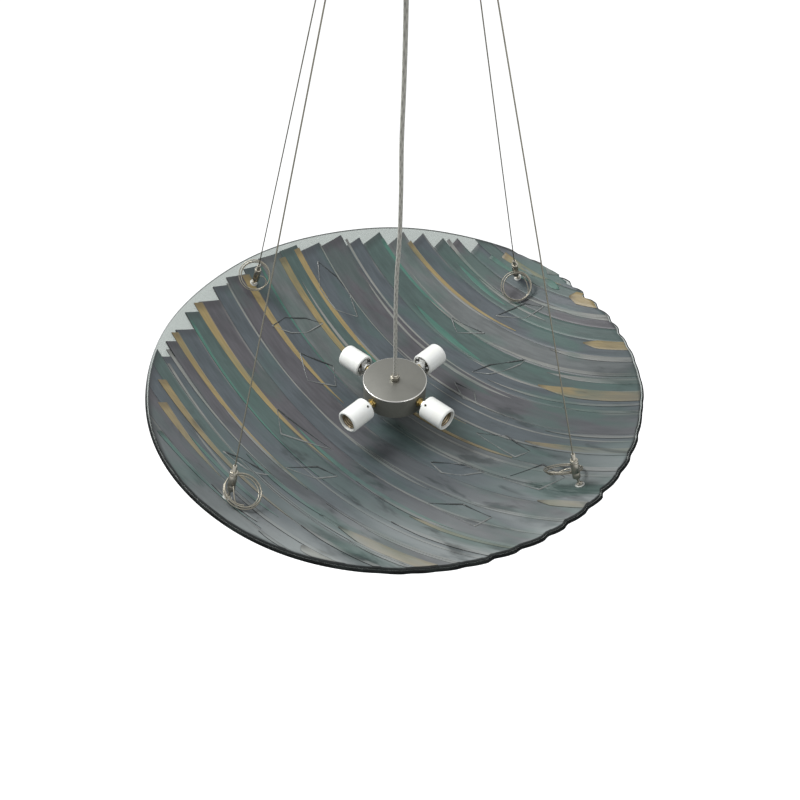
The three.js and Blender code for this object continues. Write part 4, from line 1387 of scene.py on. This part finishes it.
def mark_facing(shard, sides, middle):
    """Write into the UV map how much each side of a shard faces away, for the colour of its edge."""
    mesh = shard.data
    layer = mesh.uv_layers.active or mesh.uv_layers.new()
    for loop in mesh.loops:
        spot = mesh.vertices[loop.vertex_index].co.xy
        first, second = min(sides, key=lambda side: side_distance(spot, *side))
        run = (second - first).normalized()
        out = Vector((run.y, -run.x))
        if out.dot(first - middle) < 0:
            out = -out
        layer.data[loop.index].uv = (min(max(0.5 + 0.9 * (out.y - 0.15 * out.x), 0), 1), 0)


def build_shards(settings):
    """Melted edges of the clear shards that lie on the strips, in a layout of their own."""
    edges = []
    for n, centre, length in shard_places(settings.shard_count):
        corners = shard_outline(n, centre, length)
        sides = list(zip(corners, corners[1:] + corners[:1]))
        shard = shard_edge(sides, 5 * scatter(n + 371))
        mark_facing(shard, sides, sum(corners, Vector((0, 0))) / len(corners))
        edges.append(shard)
    piece = join("shard_edges", edges)
    smooth(piece, 60)
    dress(piece, edge_relief(), "fused_glass", "bowl", "glass_bowl")


# Fittings on the glass


def build_glass_fittings(metals):
    """Ball studs, white bushings and cap nuts, one of each modelled and copied round."""
    nickel = bright_nickel(metals)
    reach = STUD_REACH / MM
    collar = -reach + 1.6 + 0.3
    bottom = -reach - 8 - 8.5
    neck = math.degrees(math.acos(1.9 / 3.4))
    stud = turned("stud", [
        (0, bottom), (1.9, bottom), (2.4, bottom + 0.6), (2.4, collar), (4.4, collar),
        (4.4, collar + 2.2), (1.9, collar + 2.6), *arc(0, 0, 3.4, -neck, 90, 10),
    ], 36)
    soften(stud, 0.25 * MM)
    smooth(stud, 35)
    copies_round(stud, "stud", stud_place, nickel, "nickel", "bowl", "ball_stud_{}")

    bushing = turned("bushing", [
        (2.7, -reach - 7.7), (4.7, -reach - 7.7), (4.7, -reach + 0.3), (6.8, -reach + 0.3),
        (6.8, -reach + 1.2), (6.3, -reach + 1.6), (2.7, -reach + 1.6), (2.7, -reach - 7.7),
    ], 48)
    smooth(bushing, 35)
    nylon = plastic_material("Milky nylon", (0.52, 0.53, 0.50), 0.4)
    copies_round(bushing, "bushing", stud_place, nylon, "white_nylon", "bowl", "glass_bushing_{}")

    top = -reach - 8.3
    dome = 5.8
    nut = turned("nut", [
        (0, top - 11), (1.8, top - 10.9), *arc(0, top - 11 + dome, dome, -68, 0, 8),
        (dome, top - 1.4), (7, top - 1.4), (7, top), (2.7, top), (2.7, top - 8.8), (0, top - 8.8),
    ], 48)
    soften(nut, 0.2 * MM)
    smooth(nut, 35)
    copies_round(nut, "acorn_nut", stud_place, nickel, "nickel", "bowl", "cap_nut_{}")


def build_grippers(metals):
    """Gripper barrels with their side exits, and their plungers."""
    nickel = bright_nickel(metals)
    mouth = math.degrees(math.acos(3.1 / 3.8))
    pattern = turned("barrel", [
        (3.1, -3.4), (4.8, -3.4), (5.7, -2.5), (5.7, 6), (5.55, 6.3), (5.7, 6.6), (5.7, 22.7),
        (5.1, 22.7), (5.1, 23.5), (5.7, 23.5), (5.7, 24.6), (5.5, 24.9), (5.7, 25.2), (5.5, 25.5),
        (5.7, 25.8), (5.7, 27.4), (5.1, 28), (3.4, 28), (3.4, 26.4), (4.2, 26.4), (4.2, 13), (1.6, 13),
        (1.6, 3.45),
        *arc(0, 0, 3.8, 65, -mouth, 8), (3.1, -3.4),
    ], 48)
    for i, corner in enumerate(CORNERS):
        barrel = copied(pattern, f"gripper_{corner}")
        way_out = COIL_PLACES[corner][2]
        exit_place = turn("Z", way_out) @ move(4.6 * MM, 0, 8.3 * MM) @ turn("Y", 90)
        cut_with(barrel, place(rod(1.45, 6), exit_place))
        soften(barrel, 0.18 * MM)
        smooth(barrel, 35)
        place(barrel, gripper_place(i))
        dress(barrel, nickel, "nickel", f"gripper_{corner}", f"gripper_barrel_{corner}")
    bpy.data.objects.remove(pattern, do_unlink=True)

    head = 28 - 1.6 - 0.3
    plunger = turned("plunger", [
        (1.3, head - 3), (3.9, head - 3), (3.9, head), (3.1, head), (3.1, 36.6), (2.9, 36.9), (3.1, 37.2),
        (2.6, 38), (1.3, 38), (1.3, head - 3),
    ], 40)
    soften(plunger, 0.15 * MM)
    smooth(plunger, 35)
    copies_round(plunger, "plunger", gripper_place, nickel, "nickel", "plunger_{}", "gripper_plunger_{}")
    spring = metal("Spring wire", (0.32, 0.31, 0.29), 0.35, 80)
    for corner in CORNERS:
        dress_node(f"gripper_spring_{corner}", spring)


# Hub and lampholders


def build_hub(metals):
    """Cover plate, dark can and cord grip."""
    cover = turned("hub_plate", [
        (5.1, -3), (48.9, -3), (48.9, -8), (50.1, -8), (50.1, -3), *arc(51.1, -1.5, 1.5, -90, 90, 10),
        (50.2, -0.15), (49.6, 0), (5.1, 0), (5.1, -3),
    ], 144)
    smooth(cover, 30)
    place(cover, move(0, 0, HUB_TOP))
    dress(cover, satin_nickel(metals), "satin_nickel", "hub", "hub_cover")
    # Faces on the rolled edge take a brighter nickel than the face: partly polish, partly a painted
    # highlight where the curve catches the light
    cover.data.materials.append(metal("Polished nickel edge with painted highlight", metals.edge, 0.22))
    for face in cover.data.polygons:
        if face.center.xy.length > 50.8 * MM:
            face.material_index = 1

    can = turned("hub_body", [
        (0, -39.8), *arc(48.6, -36.8, 3, -90, 0, 8), (51.6, -3.3), (50.4, -3.3), (50.4, -36.8),
        (49, -38.6), (0, -38.6),
    ], 144)
    for i in range(4):
        bit = turned("bit", [(0, 40), (5.1, 40), (5.1, 60), (0, 60)], 32)
        cut_with(can, place(bit, move(0, 0, -HUB_TOP) @ socket_place(i)))
    smooth(can, 30)
    place(can, move(0, 0, HUB_TOP))
    dark = metal("Dark spun metal", metals.can, 0.42, 18, 1200, 3800, 0.35)
    dress(can, dark, "dark_metal", "hub", "hub_can")

    grip = place(grip_pieces("hub_grip"), move(0, 0, HUB_TOP + 0.3 * MM))
    dress(grip, bright_nickel(metals), "nickel", "hub", "hub_cord_grip")


def build_sockets(metals, cords):
    """Porcelain lampholders with screw shells, contacts, nipples and brackets."""
    glaze = porcelain_material(cords.porcelain)
    brass = metal("Plain brass", metals.brass, 0.28, 50)
    # A darker, duller brass for the screw shells deep in the mouths than for the nipples
    deep_shell_brass = metal("Dull brass shell", (0.34, 0.28, 0.19), 0.34, 50)
    bright = metal("Bright plate", metals.bright, 0.3, 70, metallic=0.4)
    black = plastic_material("Black moulding", (0.018, 0.018, 0.018), 0.35)
    back, mouth, size = 68.4, 112.2, 19.05

    barrel = turned("barrel", [
        (3.2, 75.5), (15.5, 75.5), (15.5, back + 1), (16.3, back),
        *arc(size - 2.4, back + 2.4, 2.4, -90, 0, 7), *arc(size - 3.2, mouth - 3.2, 3.2, 0, 90, 8),
        (15.6, mouth), (15.2, mouth - 0.5), (15.2, 106.4), (14, 105.2), (14, 81), (3.2, 81), (3.2, 75.5),
    ], 96)
    drill(barrel, 2.4, 8, (-size, 0, back + 6.2), 90)
    smooth(barrel, 35)
    copies_round(barrel, "porcelain", rolled_socket_place, glaze, "porcelain", "hub", "socket_porcelain_{}")

    bottom, top, pitch, steps = 81.4, mouth - 3.4, 3.63, 84
    thread = []
    for i in range(steps + 1):
        height = bottom + (top - bottom) * i / steps
        thread.append((12.95 + 0.5 * math.sin(2 * math.pi * (height - bottom) / pitch), height))
    shell = turned("shell", [*thread, *[(r - 0.5, h) for r, h in reversed(thread)], thread[0]], 64)
    smooth(shell, 50)
    copies_round(shell, "thread_shell", socket_place, deep_shell_brass, "brass", "hub", "screw_shell_{}")

    pipe = turned("pipe", tube(3.2, 4.8, 43.6, 75.2), 32)
    nipple = join("nipple", [pipe, hexagon(4.7, 8, 51.9, 55.9, 0.5 * MM)])
    smooth(nipple, 30)
    copies_round(nipple, "brass_nipple", socket_place, brass, "brass", "hub", "socket_nipple_{}")

    plate = block("plate", (24, 13, 1.4), (0, 0, 69.0))
    drill(plate, 5.1, 4, (0, 0, 69.0))
    parts = [plate]
    for side in (-1, 1):
        parts.append(block("leg", (1.4, 13, 6.4), (side * 11.3, 0, 71.9)))
        parts.append(block("foot", (4, 13, 1.4), (side * 10, 0, 74.5)))
    strap = join("strap", parts)
    soften(strap, 0.25 * MM)
    smooth(strap, 30)
    copies_round(strap, "strap", socket_place, bright, "bright_plate", "hub", "socket_bracket_{}")

    lock = hexagon(4.9, 8.4, 61.8, 68.2, 0.5 * MM)
    smooth(lock, 30)
    copies_round(lock, "lock_nut", socket_place, bright, "bright_plate", "hub")

    screws = []
    for side in (-1, 1):
        screw = turned("screw", [(0, 0), (2.3, 0), (2.3, 0.9), (1.9, 1.4), (0, 1.6)], 24)
        cut_with(screw, block("slit", (6, 0.6, 1.2), (0, 0, 1.4)))
        soften(screw, 0.12 * MM)
        screws.append(place(screw, move(0, side * 11 * MM, 70.2 * MM) @ turn("Y", 180)))
    heads = join("heads", screws)
    smooth(heads, 30)
    copies_round(heads, "terminal_screws", socket_place, bright, "bright_plate", "hub")

    blocks = []
    for side in (-1, 1):
        terminal = turned("terminal", [(0, 70), (4, 70), (4.4, 70.5), (4.4, 75.3), (0, 75.3)], 32)
        blocks.append(place(terminal, move(0, side * 10.9 * MM, 0)))
    terminals = join("terminals", blocks)
    smooth(terminals, 30)
    copies_round(terminals, "terminal_block", socket_place, black, "dark_metal", "hub")

    for corner in CORNERS:
        dress_node(f"centre_contact_{corner}", brass)


# Operators


class PENDANT_OT_stage(bpy.types.Operator):
    """Add the camera, the lights, the white room and the floor"""

    bl_idname = "pendant.stage"
    bl_label = "Stage"

    def execute(self, context):
        build_stage(context.scene.pendant_stage)
        return {"FINISHED"}


class PENDANT_OT_cords(bpy.types.Operator):
    """Add the braided cord, the cables and the coils of surplus cable"""

    bl_idname = "pendant.cords"
    bl_label = "Cord and cables"

    def execute(self, context):
        build_cords(context.scene.pendant_metal, context.scene.pendant_cord)
        return {"FINISHED"}


class PENDANT_OT_canopy(bpy.types.Operator):
    """Add the canopy, its ceiling plate and its cord grip"""

    bl_idname = "pendant.canopy"
    bl_label = "Canopy"

    def execute(self, context):
        build_canopy(context.scene.pendant_metal)
        return {"FINISHED"}


class PENDANT_OT_bowl(bpy.types.Operator):
    """Add the bowl's base glass and its coloured strips"""

    bl_idname = "pendant.bowl"
    bl_label = "Glass bowl"

    def execute(self, context):
        build_bowl(context.scene.pendant_glass)
        return {"FINISHED"}


class PENDANT_OT_shards(bpy.types.Operator):
    """Add the melted edges of the clear shards on the bowl"""

    bl_idname = "pendant.shards"
    bl_label = "Glass shards"

    def execute(self, context):
        build_shards(context.scene.pendant_glass)
        return {"FINISHED"}


class PENDANT_OT_glass_fittings(bpy.types.Operator):
    """Add the ball studs, bushings and cap nuts that go through the glass"""

    bl_idname = "pendant.glass_fittings"
    bl_label = "Glass fittings"

    def execute(self, context):
        build_glass_fittings(context.scene.pendant_metal)
        return {"FINISHED"}


class PENDANT_OT_grippers(bpy.types.Operator):
    """Add the cable grippers and their plungers"""

    bl_idname = "pendant.grippers"
    bl_label = "Cable grippers"

    def execute(self, context):
        build_grippers(context.scene.pendant_metal)
        return {"FINISHED"}


class PENDANT_OT_hub(bpy.types.Operator):
    """Add the hub's cover plate, can and cord grip"""

    bl_idname = "pendant.hub"
    bl_label = "Hub"

    def execute(self, context):
        build_hub(context.scene.pendant_metal)
        return {"FINISHED"}


class PENDANT_OT_sockets(bpy.types.Operator):
    """Add the porcelain lampholders and what holds them"""

    bl_idname = "pendant.sockets"
    bl_label = "Lampholders"

    def execute(self, context):
        build_sockets(context.scene.pendant_metal, context.scene.pendant_cord)
        return {"FINISHED"}


BUILD_ORDER = (
    PENDANT_OT_stage,
    PENDANT_OT_cords,
    PENDANT_OT_canopy,
    PENDANT_OT_bowl,
    PENDANT_OT_shards,
    PENDANT_OT_glass_fittings,
    PENDANT_OT_grippers,
    PENDANT_OT_hub,
    PENDANT_OT_sockets,
)


class PENDANT_PT_sidebar(bpy.types.Panel):
    """Lists the lamp's pieces in the order in which they are made"""

    bl_idname = "PENDANT_PT_sidebar"
    bl_label = "Pendant lamp"
    bl_space_type = "VIEW_3D"
    bl_region_type = "UI"
    bl_category = "Pendant lamp"

    def draw(self, context):
        for operator in BUILD_ORDER:
            self.layout.operator(operator.bl_idname)
        for group in SETTINGS:
            box = self.layout.box()
            for name in group[1].__annotations__:
                box.prop(getattr(context.scene, group[0]), name)


SETTINGS = (
    ("pendant_glass", PendantGlassSettings),
    ("pendant_metal", PendantMetalSettings),
    ("pendant_cord", PendantCordSettings),
    ("pendant_stage", PendantStageSettings),
)


def register():
    for name, group in SETTINGS:
        bpy.utils.register_class(group)
        setattr(bpy.types.Scene, name, PointerProperty(type=group))
    for operator in BUILD_ORDER:
        bpy.utils.register_class(operator)
    bpy.utils.register_class(PENDANT_PT_sidebar)


def unregister():
    bpy.utils.unregister_class(PENDANT_PT_sidebar)
    for operator in reversed(BUILD_ORDER):
        bpy.utils.unregister_class(operator)
    for name, group in reversed(SETTINGS):
        delattr(bpy.types.Scene, name)
        bpy.utils.unregister_class(group)


def main():
    register()
    bpy.ops.pendant.stage()
    bpy.ops.pendant.cords()
    bpy.ops.pendant.canopy()
    bpy.ops.pendant.bowl()
    bpy.ops.pendant.shards()
    bpy.ops.pendant.glass_fittings()
    bpy.ops.pendant.grippers()
    bpy.ops.pendant.hub()
    bpy.ops.pendant.sockets()


if __name__ == "__main__":
    main()
